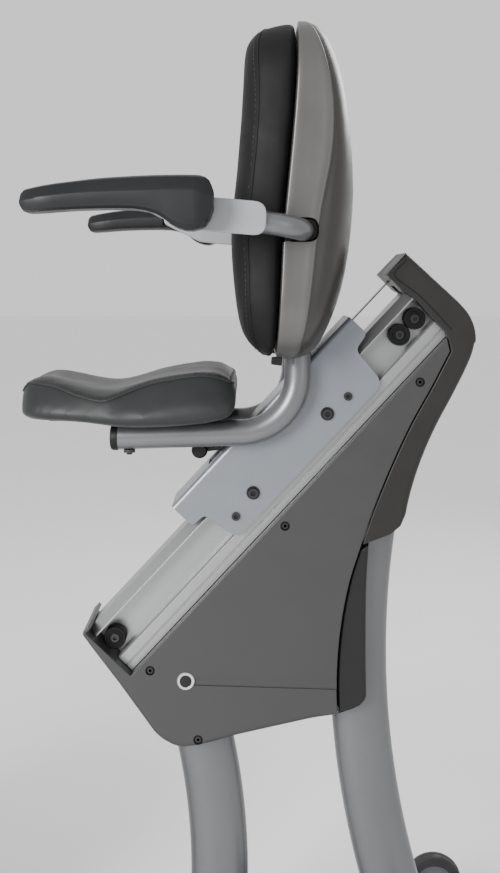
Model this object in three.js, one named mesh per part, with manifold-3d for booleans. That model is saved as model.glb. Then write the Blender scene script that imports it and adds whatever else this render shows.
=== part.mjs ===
// A semi-recumbent exercise bike. Millimetres, +Z up. The rider faces -X and sits on the origin's +X side,
// so the rider's left is -Y. The origin is on the floor, under the middle of the bike.
// The seat carriage rolls on an inclined rail; the drive, with its cranks and flywheel, stands in front.
import * as THREE from "three";
import { mergeVertices } from "three/addons/utils/BufferGeometryUtils.js";
import Module from "manifold-3d";

const wasm = await Module();
wasm.setup();

// ---------------------------------------------------------------- driving dimensions
const GAP = 0.3; // left between pieces that touch
const RUN = 0.35; // radial clearance of a turning piece

const RAIL = { x: 90, z: 576, angle: THREE.MathUtils.degToRad(46.8), length: 685, half: 40 };
const CHANNEL = { half: 22, floor: 14 }; // the groove that the rollers run in, on each side of the rail
const RAIL_TOP = 37; // heights across the rail, from the middle of the channel
const RAIL_BOTTOM = -54.6;
const ROLLER = { radius: 21.6, bore: 6, low: 315, high: 474 }; // low and high: places along the rail
const BUMPER = { radius: 16.2, lower: 15.8, inner: 632, outer: 664.8 }; // places along the rail
const CARRIAGE = { inner: 45, outer: 50, web: 74 };
const TAPE = { low: 300, t: 62.6, thick: 1.5, half: 9 };
const REEL = { s: 703, t: 45.9, radius: 16.3, pin: 4 };

const TUBE = { radius: 19, wall: 2.5, y: 69.4, front: 101, z: 891, bend: 83, back: 369.6, top: 1160 };
const LEG = { long: 86, wide: 52, wall: 3 };
const FRONT_LEG = { x: -675, z: 225, radius: 930, top: 560 }; // centre of its arc, in front of it
const REAR_LEG = { x: 1734, z: 560, radius: 1270, top: 925 }; // centre of its arc, behind it

const BEAM = { rear: 536.7, front: -606.7, half: 40, low: 42, high: 100, wall: 3 };
const STABILISER = { wall: 3, radius: 34, z: 52, front: -641, rear: 571, frontHalf: 280, rearHalf: 250 };
const FOOT = { radius: 22, height: 14, stem: 6, frontY: 250, rearY: 215 };
const WHEEL = { x: 625, z: 53, radius: 50, half: 12, y: 270, axle: 6 };

const COVER = { half: 60, wall: 3 };
const CRANK = { x: -315, z: 390, length: 170, axle: 9.7, inner: 67, outer: 81, spindle: 6 };
const FLYWHEEL = { x: -505, z: 330, radius: 118, axle: 8 };
const BELT = { low: 18, high: 30, thick: 3.5, big: 92, small: 16 };
const IDLER = { radius: 17, bore: 6 };
const HOUSING = { half: 62, wall: 3 };
const MAST = { wall: 2.5, x: -455, z: 480, topX: -419, topZ: 1236, long: 62, wide: 42 };
const CONSOLE = { width: 286, height: 176, deep: 46, x: -402, z: 1262, tilt: THREE.MathUtils.degToRad(24) };
const HANDLEBAR_RADIUS = 15.5;
const BACK = { half: 192, low: 1006, high: 1484 };

// ---------------------------------------------------------------- colours
const paint = (color, roughness, metalness) =>
  new THREE.MeshStandardMaterial({ color, roughness, metalness });
const silver = paint(0x9a9da1, 0.4, 0.6);
const alloy = paint(0xc3c6c8, 0.3, 0.9);
const plate = paint(0xa3a9ae, 0.45, 0.4);
const shell = paint(0x55565a, 0.55, 0);
const darkShell = paint(0x46433f, 0.5, 0);
const trim = paint(0x77797a, 0.4, 0.3);
const vinyl = paint(0x2c2d2e, 0.65, 0);
const rubber = paint(0x1b1c1d, 0.8, 0);
const steel = paint(0x8a8c8f, 0.35, 0.9);

// ---------------------------------------------------------------- solids and booleans
function solidOf(geometry) {
  const g = geometry.index ? geometry.toNonIndexed() : geometry.clone();
  g.deleteAttribute("normal");
  g.deleteAttribute("uv");
  const merged = mergeVertices(g, 1e-3);
  return new wasm.Manifold(
    new wasm.Mesh({
      numProp: 3,
      vertProperties: merged.attributes.position.array,
      triVerts: new Uint32Array(merged.index.array),
    }),
  );
}

function geometryOf(solid) {
  const mesh = solid.getMesh();
  return new THREE.BufferGeometry()
    .setAttribute("position", new THREE.BufferAttribute(new Float32Array(mesh.vertProperties), 3))
    .setIndex(new THREE.BufferAttribute(new Uint32Array(mesh.triVerts), 1));
}

const cut = (base, ...tools) =>
  geometryOf(tools.reduce((solid, tool) => solid.subtract(solidOf(tool)), solidOf(base)));
const join = (base, ...more) =>
  geometryOf(more.reduce((solid, other) => solid.add(solidOf(other)), solidOf(base)));
const common = (a, b) => geometryOf(solidOf(a).intersect(solidOf(b)));

// ---------------------------------------------------------------- shape helpers
const root = new THREE.Group();
const railGroup = new THREE.Group();
railGroup.position.set(RAIL.x, 0, RAIL.z);
railGroup.rotation.y = -RAIL.angle;
root.add(railGroup);

function part(name, geometry, material, group = root) {
  const mesh = new THREE.Mesh(geometry, material);
  mesh.name = name;
  group.add(mesh);
  return mesh;
}

// A point given along (s) and across (t) the rail, as [x, z] of the part's frame.
function onRail(s, t) {
  const c = Math.cos(RAIL.angle);
  const n = Math.sin(RAIL.angle);
  return [RAIL.x + s * c - t * n, RAIL.z + s * n + t * c];
}

// The rail group's solid, carried into the part's frame, for cutting what is built there.
const fromRail = (geometry) => geometry.clone().rotateY(-RAIL.angle).translate(RAIL.x, 0, RAIL.z);

const shapeOf = (points) => new THREE.Shape(points.map(([x, z]) => new THREE.Vector2(x, z)));

// A side outline of [x, z] points, pushed across the bike from yLow to yHigh.
function prism(points, yLow, yHigh) {
  const options = { depth: yHigh - yLow, bevelEnabled: false };
  return new THREE.ExtrudeGeometry(shapeOf(points), options).rotateX(Math.PI / 2).translate(0, yHigh, 0);
}

// Points of an outline with its corners rounded; each corner is [x, z, radius].
function rounded(corners, steps = 4) {
  const out = [];
  corners.forEach(([x, z, r = 0], i) => {
    const at = new THREE.Vector2(x, z);
    if (!r) {
      out.push([x, z]);
      return;
    }
    const before = corners[(i + corners.length - 1) % corners.length];
    const after = corners[(i + 1) % corners.length];
    const a = new THREE.Vector2(before[0], before[1]).sub(at).normalize();
    const b = new THREE.Vector2(after[0], after[1]).sub(at).normalize();
    const start = at.clone().addScaledVector(a, r);
    const end = at.clone().addScaledVector(b, r);
    const curve = new THREE.QuadraticBezierCurve(start, at, end);
    curve.getPoints(steps).forEach((p) => out.push([p.x, p.y]));
  });
  return out;
}

const box = (x0, x1, y0, y1, z0, z1) =>
  new THREE.BoxGeometry(x1 - x0, y1 - y0, z1 - z0)
    .translate((x0 + x1) / 2, (y0 + y1) / 2, (z0 + z1) / 2);

// A box whose near and far faces keep their order when it is made for the other side (-1 or 1) of the bike.
const sideBox = (x0, x1, side, near, far, z0, z1) =>
  box(x0, x1, Math.min(side * near, side * far), Math.max(side * near, side * far), z0, z1);

// A round bar across the bike.
const rod = (x, z, radius, yLow, yHigh, sides = 12) =>
  new THREE.CylinderGeometry(radius, radius, yHigh - yLow, sides).translate(x, (yLow + yHigh) / 2, z);

// An upright round bar.
const post = (x, y, radius, zLow, zHigh, sides = 12) =>
  new THREE.CylinderGeometry(radius, radius, zHigh - zLow, sides)
    .rotateX(Math.PI / 2)
    .translate(x, y, (zLow + zHigh) / 2);

// A turned piece about the line across the bike through (x, z); profile points are [radius, y].
const turned = (profile, x, z, sides = 24) =>
  new THREE.LatheGeometry(profile.map(([r, y]) => new THREE.Vector2(r, y)), sides).translate(x, 0, z);

function ovalPoints(wide, long, sides) {
  const points = [];
  for (let i = 0; i < sides; i += 1) {
    const a = (i / sides) * 2 * Math.PI;
    points.push(new THREE.Vector2((wide / 2) * Math.cos(a), (long / 2) * Math.sin(a)));
  }
  return points;
}

// An oval section; with a wall it is a tube's section.
function ovalShape(wide, long, sides = 14, wall = 0) {
  const shape = new THREE.Shape(ovalPoints(wide, long, sides));
  if (wall) {
    const bore = ovalPoints(wide - 2 * wall, long - 2 * wall, sides);
    shape.holes.push(new THREE.Path(bore.reverse()));
  }
  return shape;
}

const sweep = (section, curve, steps) =>
  new THREE.ExtrudeGeometry(section, { extrudePath: curve, steps, bevelEnabled: false });

// A closed body through rings of [x, y, z] points, one after another, with flat ends.
function loft(rings) {
  const n = rings[0].length;
  const vertices = rings.flat(2);
  const index = [];
  for (let r = 0; r + 1 < rings.length; r += 1) {
    for (let i = 0; i < n; i += 1) {
      const a = r * n + i;
      const b = r * n + ((i + 1) % n);
      index.push(a, b, b + n, a, b + n, a + n);
    }
  }
  const last = (rings.length - 1) * n;
  for (let i = 1; i + 1 < n; i += 1) {
    index.push(0, i + 1, i, last, last + i, last + i + 1);
  }
  const g = new THREE.BufferGeometry()
    .setAttribute("position", new THREE.BufferAttribute(new Float32Array(vertices), 3))
    .setIndex(index);
  if (solidOf(g).volume() > 0) return g;
  for (let i = 0; i < index.length; i += 3) {
    [index[i + 1], index[i + 2]] = [index[i + 2], index[i + 1]];
  }
  return g.setIndex(index);
}

// Value at x on straight lines through [x, value] points.
function along(table, x) {
  if (x <= table[0][0]) return table[0][1];
  for (let i = 0; i + 1 < table.length; i += 1) {
    const [x0, v0] = table[i];
    const [x1, v1] = table[i + 1];
    if (x <= x1) return v0 + (v1 - v0) * ((x - x0) / (x1 - x0));
  }
  return table[table.length - 1][1];
}

function mirrored(geometry) {
  const g = geometry.clone().scale(1, -1, 1);
  const count = g.attributes.position.count;
  const index = g.index ? Array.from(g.index.array) : [...Array(count).keys()];
  for (let i = 0; i < index.length; i += 3) {
    [index[i + 1], index[i + 2]] = [index[i + 2], index[i + 1]];
  }
  return g.setIndex(index);
}

// The same piece on both sides of the bike, made for the left side.
function pair(name, geometry, material, group = root) {
  part(`${name}_left`, geometry, material, group);
  part(`${name}_right`, mirrored(geometry), material, group);
}

// ---------------------------------------------------------------- rail
function railSection() {
  const h = RAIL.half;
  const c = CHANNEL;
  const side = [
    [25, RAIL_TOP], [h, c.half + 2], [h, c.half], [c.floor, c.half], [c.floor, -c.half],
    [h - 3, -c.half], [h, -c.half - 2.5], [h, -37.8], [h - 2, -38.6], [h - 2, -40], [h, -40.8],
    [h, -50], [h - 5, RAIL_BOTTOM],
  ];
  const both = [...side, ...side.map(([y, t]) => [-y, t]).reverse()];
  const shape = shapeOf(both.map(([y, t]) => [-t, y]));
  for (const [y, low, high] of [[20, 26, 33], [10, -18, 18], [33, -50, -27]]) {
    const corners = [[-low, -y], [-low, y], [-high, y], [-high, -y]];
    shape.holes.push(new THREE.Path(corners.map(([a, b]) => new THREE.Vector2(a, b))));
  }
  return shape;
}

function makeRail() {
  const options = { depth: RAIL.length, bevelEnabled: false };
  const raw = new THREE.ExtrudeGeometry(railSection(), options).rotateY(Math.PI / 2);
  const places = [BUMPER.lower, BUMPER.inner, BUMPER.outer];
  const holes = places.map((s) => rod(s, 0, 5 + RUN, -16, 16, 12));
  part("seat_rail", cut(raw, ...holes), alloy, railGroup);
}

function makeBumpers() {
  const r = BUMPER.radius;
  const side = [[5, 14.5], [r, 15], [r, 34], [r - 2, 36], [0, 36]];
  const profile = [...side.map(([radius, y]) => [radius, -y]).reverse(), ...side];
  part("lower_bumper", turned(profile, BUMPER.lower, 0, 16), rubber, railGroup);
  part("upper_bumper_inner", turned(profile, BUMPER.inner, 0, 16), rubber, railGroup);
  part("upper_bumper_outer", turned(profile, BUMPER.outer, 0, 16), rubber, railGroup);
}

function makeReel() {
  const back = box(RAIL.length + GAP, RAIL.length + 3.5, -17, 17, -18, 28);
  const ears = [-1, 1].map((side) => sideBox(RAIL.length + GAP, 712, side, 13.5, 17, 16, 52));
  const pin = rod(REEL.s, REEL.t, REEL.pin, -17, 17, 12);
  part("reel_bracket", join(back, ...ears, pin), steel, railGroup);
  const bore = rod(REEL.s, REEL.t, REEL.pin + RUN, -13, 13, 12);
  const drum = cut(rod(REEL.s, REEL.t, REEL.radius, -12, 12, 24), bore);
  part("spring_reel", drum, steel, railGroup);
  const tape = box(TAPE.low, REEL.s, -TAPE.half, TAPE.half, TAPE.t, TAPE.t + TAPE.thick);
  part("spring_tape", tape, steel, railGroup);
}

// ---------------------------------------------------------------- legs, base and wheels
// A circle's arc in side view; angles are from +X towards +Z.
class Arc extends THREE.Curve {
  constructor(x, z, radius, from, to) {
    super();
    Object.assign(this, { x, z, radius, from, to });
  }

  getPoint(u, target = new THREE.Vector3()) {
    const a = this.from + (this.to - this.from) * u;
    return target.set(this.x + this.radius * Math.cos(a), 0, this.z + this.radius * Math.sin(a));
  }
}

const heightAngle = (leg, z) => Math.asin((z - leg.z) / leg.radius);

// A leg's bent oval tube between two heights. Grown by some millimetres, it is solid, to cut room for it.
function legTube(leg, from, to, grow, steps) {
  const section = ovalShape(LEG.wide + grow, LEG.long + grow, 14, grow ? 0 : LEG.wall);
  return sweep(section, new Arc(leg.x, leg.z, leg.radius, from, to), steps);
}

const frontLeg = (grow = 0, low = BEAM.high + GAP) =>
  legTube(FRONT_LEG, heightAngle(FRONT_LEG, low), heightAngle(FRONT_LEG, FRONT_LEG.top + 60), grow, 8);

const rearLeg = (grow = 0, low = 50) =>
  legTube(REAR_LEG, Math.PI - heightAngle(REAR_LEG, low),
    Math.PI - heightAngle(REAR_LEG, REAR_LEG.top + 90), grow, 10);

// Room for the rail and what lies over it, down to a depth under the rail.
const belowRail = (depth) => fromRail(box(-80, 900, -COVER.half, COVER.half, RAIL_BOTTOM - depth, 260));

function makeLegs() {
  const saddle = 9; // thickness of the pads between legs and rail
  const floor = box(-700, 700, -60, 60, -60, BEAM.high + GAP);
  const side = BEAM.half + GAP;
  const beamEnd = box(BEAM.rear - 60, BEAM.rear + GAP, -side, side, 0, BEAM.high + GAP);
  const bar = rod(STABILISER.rear, STABILISER.z, STABILISER.radius + GAP, -80, 80, 20);
  const underBar = box(400, 700, -60, 60, 0, STABILISER.z);
  const overLegs = belowRail(saddle + GAP);
  part("front_leg", cut(frontLeg(0, 60), overLegs, floor), silver);
  part("rear_leg", cut(rearLeg(), overLegs, beamEnd, bar, underBar), silver);
  for (const [name, s] of [["rail_saddle_front", 72], ["rail_saddle_rear", 545]]) {
    const pad = box(s - 55, s + 55, -34, 34, RAIL_BOTTOM - saddle, RAIL_BOTTOM - GAP);
    part(name, pad, steel, railGroup);
  }
}

function stabiliser(x, half, footY) {
  const tube = rod(x, STABILISER.z, STABILISER.radius, -half, half, 20);
  const bore = rod(x, STABILISER.z, STABILISER.radius - STABILISER.wall, -half - 1, half + 1, 20);
  const holes = [-1, 1].map((side) => post(x, side * footY, FOOT.stem + RUN, 0, 50, 12));
  return cut(tube, bore, ...holes);
}

function makeBase() {
  const w = BEAM.wall;
  const { front, rear, half, low, high } = BEAM;
  const outside = box(front, rear, -half, half, low, high);
  const inside = box(front - 9, rear + 9, -half + w, half - w, low + w, high - w);
  part("base_beam", cut(outside, inside), silver);
  const ends = [
    ["front", STABILISER.front, STABILISER.frontHalf, FOOT.frontY],
    ["rear", STABILISER.rear, STABILISER.rearHalf, FOOT.rearY],
  ];
  for (const [end, x, barHalf, y] of ends) {
    part(`${end}_stabiliser`, stabiliser(x, barHalf, y), silver);
    const pad = post(x, -y, FOOT.radius, 0, FOOT.height, 24);
    const stem = post(x, -y, FOOT.stem, FOOT.height - 1, 44, 12);
    pair(`levelling_foot_${end}`, join(pad, stem), rubber);
  }
}

function makeWheels() {
  const r = WHEEL.radius;
  const h = WHEEL.half;
  const bore = WHEEL.axle + RUN;
  const profile = [
    [bore, -h], [16, -h], [28, -h + 3], [32, -h], [r - 4, -h], [r, -h + 4],
    [r, h - 4], [r - 4, h], [32, h], [28, h - 3], [16, h], [bore, h], [bore, -h],
  ];
  pair("transport_wheel", turned(profile, WHEEL.x, WHEEL.z, 24).translate(0, -WHEEL.y, 0), rubber);
  const start = STABILISER.rearHalf + GAP;
  const arm = prism(rounded([
    [STABILISER.rear - 24, STABILISER.z - 20, 14], [WHEEL.x + 14, WHEEL.z - 14, 12],
    [WHEEL.x + 14, WHEEL.z + 14, 12], [STABILISER.rear - 24, STABILISER.z + 20, 14],
  ]), -start - 5, -start);
  const axle = rod(WHEEL.x, WHEEL.z, WHEEL.axle, -WHEEL.y - h - 3, -start, 16);
  const head = rod(WHEEL.x, WHEEL.z, WHEEL.axle + 4, -WHEEL.y - h - 5, -WHEEL.y - h - 1, 16);
  pair("wheel_bracket", join(arm, axle, head), steel);
}

// ---------------------------------------------------------------- housing under the rail
// The line between the side covers and the top cover.
const SEAM = [[464, 732], [477, 772], [507, 846], [536, 908], [566, 962], [593, 1014]];

// The line where the side covers drop back to the narrower rear strip.
const STRIP = [[464, 732], [446, 675], [433, 604], [428, 535], [429, 480]];
const STRIP_HALF = 50;

function sideCoverOutline() {
  const edge = -51; // the covers' upper edge, across the rail
  return rounded([
    onRail(40, 44), onRail(-2, 44), onRail(-5, 40), [166, 449, 15], [196, 433, 12],
    [231, 438], [282, 452], [426, 484], [458, 491], [472, 507],
    [471, 597], [472, 672], [475, 731],
    ...SEAM, onRail(674, edge),
    onRail(-1, edge), onRail(-1, 38.5), onRail(40, 38.5),
  ]);
}

function makeSideCovers() {
  const wall = COVER.wall;
  const mainRoom = [
    onRail(-1, -62), [176, 455], [200, 440], [231, 442], [282, 456], [424, 488],
    [425, 535], [430, 604], [443, 676], [461, 735], [490, 775], [520, 860], [580, 980],
    onRail(650, -62),
  ];
  const stripRoom = [
    [400, 486], [424, 488], [455, 495], [468, 509], [467, 597], [468, 672], [470, 727], [400, 727],
  ];
  const body = prism(sideCoverOutline(), -COVER.half, -GAP);
  const railRoom = fromRail(box(-1, 760, -41, 41, RAIL_BOTTOM - 12, 38.5));
  const step = prism([...STRIP, [500, 480], [500, 732]], -COVER.half - 1, -STRIP_HALF);
  const cover = cut(
    body, prism(mainRoom, -COVER.half + wall, 5), prism(stripRoom, -STRIP_HALF + wall, 5),
    railRoom, step, frontLeg(4, 300), rearLeg(4, 50),
  );
  pair("side_cover", cover, shell);
}

function makeTopCover() {
  const w = COVER.half + 2;
  const outer = rounded([
    ...SEAM.map(([x, z]) => [x + 1.2, z]),
    onRail(676, -50), onRail(680, -42), onRail(680, -16), onRail(684, 24), onRail(682, 36),
    onRail(680, 43), onRail(681, 70), [...onRail(681, 78), 6], [...onRail(725, 78), 10],
    [...onRail(729, -38), 12], [628, 1018, 12],
    [608, 974], [584, 936], [566, 903], [551, 870], [539, 834], [532, 790], [527, 768],
    [521, 760], [506, 748],
  ]);
  const inner = [
    [440, 740], [470, 790], [500, 850], [560, 960],
    onRail(640, -60), onRail(684, -57), onRail(684, -16), onRail(687, 24), onRail(684, 74),
    onRail(721, 74), onRail(725, -38), [622, 1018],
    [604, 974], [580, 936], [562, 903], [547, 870], [535, 834], [528, 790], [523, 772],
    [520, 700], [440, 700],
  ];
  const room = prism(inner, -w + COVER.wall, w - COVER.wall);
  const railRoom = fromRail(box(500, RAIL.length + 8, -41, 41, RAIL_BOTTOM - 12, RAIL_TOP + 1));
  const tapeHalf = TAPE.half + 1;
  const tapeSlot = box(640, 700, -tapeHalf, tapeHalf, TAPE.t - 1.2, TAPE.t + TAPE.thick + 1.2);
  const reelRoom = fromRail(box(676, 715, -19, 19, 14, 54));
  const rooms = [room, railRoom, fromRail(tapeSlot), reelRoom, rearLeg(4, 50)];
  part("top_cover", cut(prism(outer, -w, w), ...rooms), darkShell);
}

// ---------------------------------------------------------------- seat carriage
function carriageOutline() {
  const { web } = CARRIAGE;
  return rounded([
    [218, web, 2], [218, 32, 10], [242, 30, 8], [250, -29.4, 18], [563, -29.4, 18], [571, 34, 10],
    [600, 38, 10], [600, web, 2],
  ]);
}

function makeCarriage() {
  const { inner, outer, web } = CARRIAGE;
  const hollow = box(150, 700, -inner, inner, -60, web - 5);
  const slot = box(296, 356, -24, 24, web - 10, web + 10);
  const sheet = cut(prism(carriageOutline(), -outer, outer), hollow, slot);
  const axles = [];
  for (const s of [ROLLER.low, ROLLER.high]) {
    for (const side of [-1, 1]) {
      axles.push(sideRod(s, side, ROLLER.bore, 17, outer));
      axles.push(sideRod(s, side, 10, outer - 1, outer + 3));
    }
  }
  const pin = rod(352, 57, 4, -inner, inner, 12); // the release bar's pivot
  part("carriage_frame", join(sheet, ...axles, pin), plate, railGroup);
}

// A bar across the bike on one side (-1 or 1) of it, in the middle of the rail's channel.
function sideRod(s, side, radius, near, far) {
  return rod(s, 0, radius, Math.min(side * near, side * far), Math.max(side * near, side * far), 16);
}

function makeRollers() {
  const r = ROLLER.radius;
  const bore = ROLLER.bore + RUN;
  const profile = [[bore, -38], [12, -38], [13, -36], [r, -36], [r, -18], [bore, -18], [bore, -38]];
  for (const [end, s] of [["front", ROLLER.low], ["rear", ROLLER.high]]) {
    pair(`carriage_roller_${end}`, turned(profile, s, 0, 18), rubber, railGroup);
  }
}

// The release bar turns on the carriage's pin; its heel lifts the brake shoe off the rail.
function makeLock() {
  const [px, pz] = onRail(352, 57);
  const grip = rod(226, 865.5, 12, -40, 40, 20);
  const outline = rounded([
    [222, 858, 4], [268, 864], [px - 2, pz - 9, 6], [px + 9, pz - 2, 6], [px, pz + 9, 6], [262, 877],
    [222, 873, 4],
  ], 2);
  const arms = [prism(outline, -21, -13), prism(outline, 13, 21)];
  part("release_bar", cut(join(grip, ...arms), rod(px, pz, 4 + RUN, -30, 30, 12)), rubber);
  part("brake_shoe", box(384, 424, -18, 18, RAIL_TOP + GAP, 48), rubber, railGroup);
}

function seatTubePath(y) {
  const path = new THREE.CurvePath();
  const v = (x, z) => new THREE.Vector3(x, y, z);
  const low = TUBE.z + 6;
  const bendStart = TUBE.back - TUBE.bend;
  path.add(new THREE.LineCurve3(v(TUBE.front, TUBE.z), v(bendStart - 1, low)));
  const points = [];
  for (let i = 0; i <= 8; i += 1) {
    const a = (i / 8) * (Math.PI / 2);
    points.push(v(bendStart + TUBE.bend * Math.sin(a), low + TUBE.bend * (1 - Math.cos(a))));
  }
  path.add(new THREE.CatmullRomCurve3(points));
  path.add(new THREE.LineCurve3(v(TUBE.back, low + TUBE.bend + 1), v(TUBE.back, TUBE.top)));
  return path;
}

function makeSeatFrame() {
  const tube = sweep(ovalShape(2 * TUBE.radius, 2 * TUBE.radius, 12, TUBE.wall), seatTubePath(-TUBE.y), 16);
  pair("seat_tube", tube, silver);
  part("seat_cross_plate", box(126, 186, -50, 50, 886, 892), steel);
  part("seat_pan", box(14, 268, -96, 96, 917, 925), rubber);
}

// Side lines of the seat cushion, as [x, height], and its half-width.
const SEAT_TOP_EDGE = [
  [-36, 952], [-28, 966], [0, 973], [30, 966], [60, 954], [88, 951], [111, 957], [141, 970],
  [178, 984], [228, 991], [262, 988], [280, 976], [285, 950],
];
const SEAT_TOP_MIDDLE = [
  [-36, 955], [-30, 968], [0, 977], [30, 976], [60, 969], [88, 962], [111, 961], [141, 966],
  [178, 974], [228, 981], [262, 981], [280, 972], [285, 950],
];
const SEAT_LOW = [
  [-36, 924], [-26, 915], [0, 914], [60, 913], [110, 911], [200, 912], [250, 918], [276, 926],
  [285, 934],
];
const SEAT_WIDTH = [
  [-36, 92], [-26, 112], [0, 124], [60, 132], [110, 142], [180, 150], [240, 148], [272, 134],
  [285, 112],
];

// A ring round the seat cushion at x.
function seatRing(x) {
  const w = along(SEAT_WIDTH, x);
  const low = along(SEAT_LOW, x);
  const edge = along(SEAT_TOP_EDGE, x);
  const mid = along(SEAT_TOP_MIDDLE, x);
  const half = [
    [0, low], [0.6 * w, low], [0.88 * w, low + 3], [0.98 * w, low + 14],
    [w, low + 0.45 * (edge - low)], [0.93 * w, edge - 16], [0.8 * w, edge - 4], [0.64 * w, edge],
    [0.4 * w, edge - 0.35 * (edge - mid)], [0, mid],
  ];
  const left = half.slice(1, -1).map(([y, z]) => [x, -y, z]).reverse();
  return [...half.map(([y, z]) => [x, y, z]), ...left];
}

function makeSeatCushion() {
  const stations = [-36, -30, -16, 8, 36, 66, 96, 126, 156, 192, 228, 256, 274, 285];
  const pocket = box(8, 271, -99, 99, 880, 925.5);
  part("seat_cushion", cut(loft(stations.map(seatRing)), pocket), vinyl);
}

// ---------------------------------------------------------------- backrest
// Side lines of the backrest, as [height, x].
const BACK_FRONT = [
  [1006, 322], [1022, 300], [1045, 291], [1073, 285], [1120, 281], [1165, 278], [1200, 279],
  [1270, 286], [1330, 291], [1390, 295], [1440, 296], [1466, 305], [1484, 336],
];
const BACK_PARTING = [[1006, 336], [1014, 336], [1455, 364], [1484, 367]];
const TRIM_EDGE = [
  [1006, 352], [1031, 372], [1065, 379], [1118, 386], [1172, 392], [1225, 401], [1272, 411],
  [1319, 416], [1372, 414], [1426, 404], [1466, 392], [1484, 380],
];
const COVER_BULGE = [
  [1006, 372], [1027, 402], [1073, 423], [1118, 437], [1179, 447], [1239, 451], [1300, 448],
  [1360, 440], [1421, 428], [1466, 408], [1484, 392],
];
const BACK_STATIONS = [1006, 1012, 1026, 1050, 1092, 1150, 1225, 1300, 1372, 1425, 1456, 1475, 1484];

// Half-width of the backrest, with round corners at the top and bottom.
function backHalf(z) {
  const corner = 88;
  const d = Math.min(z - BACK.low, BACK.high - z);
  if (d >= corner) return BACK.half;
  const k = (corner - d) / corner;
  return BACK.half - corner * (1 - Math.sqrt(Math.max(0, 1 - k * k)));
}

// A ring round the backrest's cushion at height z.
function cushionRing(z) {
  const w = backHalf(z) - 2;
  const front = along(BACK_FRONT, z);
  const back = along(BACK_PARTING, z) - 1;
  const deep = back - front;
  const half = [
    [0, back], [0.7, back], [0.95, back - 1], [0.99, back - 0.12 * deep], [1, back - 0.45 * deep],
    [0.97, front + 0.3 * deep], [0.9, front + 0.1 * deep], [0.76, front], [0.5, front + 4], [0, front + 8],
  ];
  const left = half.slice(1, -1).map(([k, x]) => [x, -k * w, z]).reverse();
  return [...half.map(([k, x]) => [x, k * w, z]), ...left];
}

// A ring round the trim at height z, or, with a wall and a reach past both its edges, round its inside.
function trimRing(z, wall, reach) {
  const w = backHalf(z) - wall;
  const from = along(BACK_PARTING, z) + (reach ? -20 : 1);
  const to = along(TRIM_EDGE, z) + reach;
  return [
    [from, -w, z], [to - 4, -w, z], [to, -w + 3, z], [to, w - 3, z], [to - 4, w, z], [from, w, z],
  ];
}

// The same for the rear cover.
function bulgeRing(z, wall, reach) {
  const w = backHalf(z) - 3.5 - wall;
  const from = along(TRIM_EDGE, z) + 0.5 - reach;
  const to = along(COVER_BULGE, z) - wall;
  const points = [];
  for (let i = 0; i <= 10; i += 1) {
    const a = -Math.PI / 2 + (i / 10) * Math.PI;
    points.push([from + reach + (to - from - reach) * Math.cos(a) ** 0.75, w * Math.sin(a), z]);
  }
  return reach ? [[from, -w, z], ...points, [from, w, z]] : points;
}

const inwards = (z, wall) => Math.min(Math.max(z, BACK.low + wall), BACK.high - wall);

function makeBackrest() {
  part("back_cushion", loft(BACK_STATIONS.map(cushionRing)), vinyl);
  const tubeRoom = [-1, 1].map((side) => post(TUBE.back, side * TUBE.y, TUBE.radius + 1, 980, 1200, 20));
  const bar = { x: 377, z: 1185, room: 16.5 }; // where the armrests' bar comes out
  const barRoom = rod(bar.x, bar.z, bar.room, -230, 230, 20);
  const slot = box(330, bar.x, -230, 230, bar.z - bar.room, bar.z + bar.room);
  const wall = 5;
  const ring = cut(
    loft(BACK_STATIONS.map((z) => trimRing(z, 0, 0))),
    loft(BACK_STATIONS.map((z) => trimRing(z, wall, 30).map(([x, y]) => [x, y, inwards(z, wall)]))),
    ...tubeRoom, barRoom, slot,
  );
  part("back_trim", ring, trim);
  const cover = cut(
    loft(BACK_STATIONS.map((z) => bulgeRing(z, 0, 0))),
    loft(BACK_STATIONS.map((z) => bulgeRing(z, 4, 12).map(([x, y]) => [x, y, inwards(z, 6)]))),
    ...tubeRoom, barRoom,
  );
  part("back_cover", cover, darkShell);
  part("back_plate", box(345.6, 350, -110, 110, 1050, 1166), steel);
}

// ---------------------------------------------------------------- armrests
// Side lines of an arm pad, as [x, height].
const ARM_TOP = [
  [16, 1228], [22, 1231], [88, 1242], [113, 1245.5], [176, 1249], [240, 1249], [250, 1242],
  [255, 1230],
];
const ARM_LOW = [
  [16, 1206], [24, 1201], [76, 1206], [138, 1207], [165, 1206], [188, 1199], [207, 1184],
  [226, 1178], [244, 1186], [255, 1206],
];

function armRing(x) {
  const top = along(ARM_TOP, x);
  const low = along(ARM_LOW, x);
  const tip = Math.min(1, 0.72 + (x - 16) / 120);
  const outer = -280 - 31 * tip;
  const inner = -280 + 31 * tip;
  return [
    [x, outer + 7, low], [x, inner - 7, low], [x, inner, low + 6], [x, inner, top - 9],
    [x, inner - 7, top - 1.5], [x, -280, top], [x, outer + 7, top - 1.5], [x, outer, top - 9],
    [x, outer, low + 6],
  ];
}

// A smooth line across the bike: the given points, and their mirror images back again.
function acrossBike(half) {
  const points = [...half, ...half.map(([x, y, z]) => [x, -y, z]).reverse()];
  const vectors = points.map(([x, y, z]) => new THREE.Vector3(x, y, z));
  return new THREE.CatmullRomCurve3(vectors, false, "centripetal");
}

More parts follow.
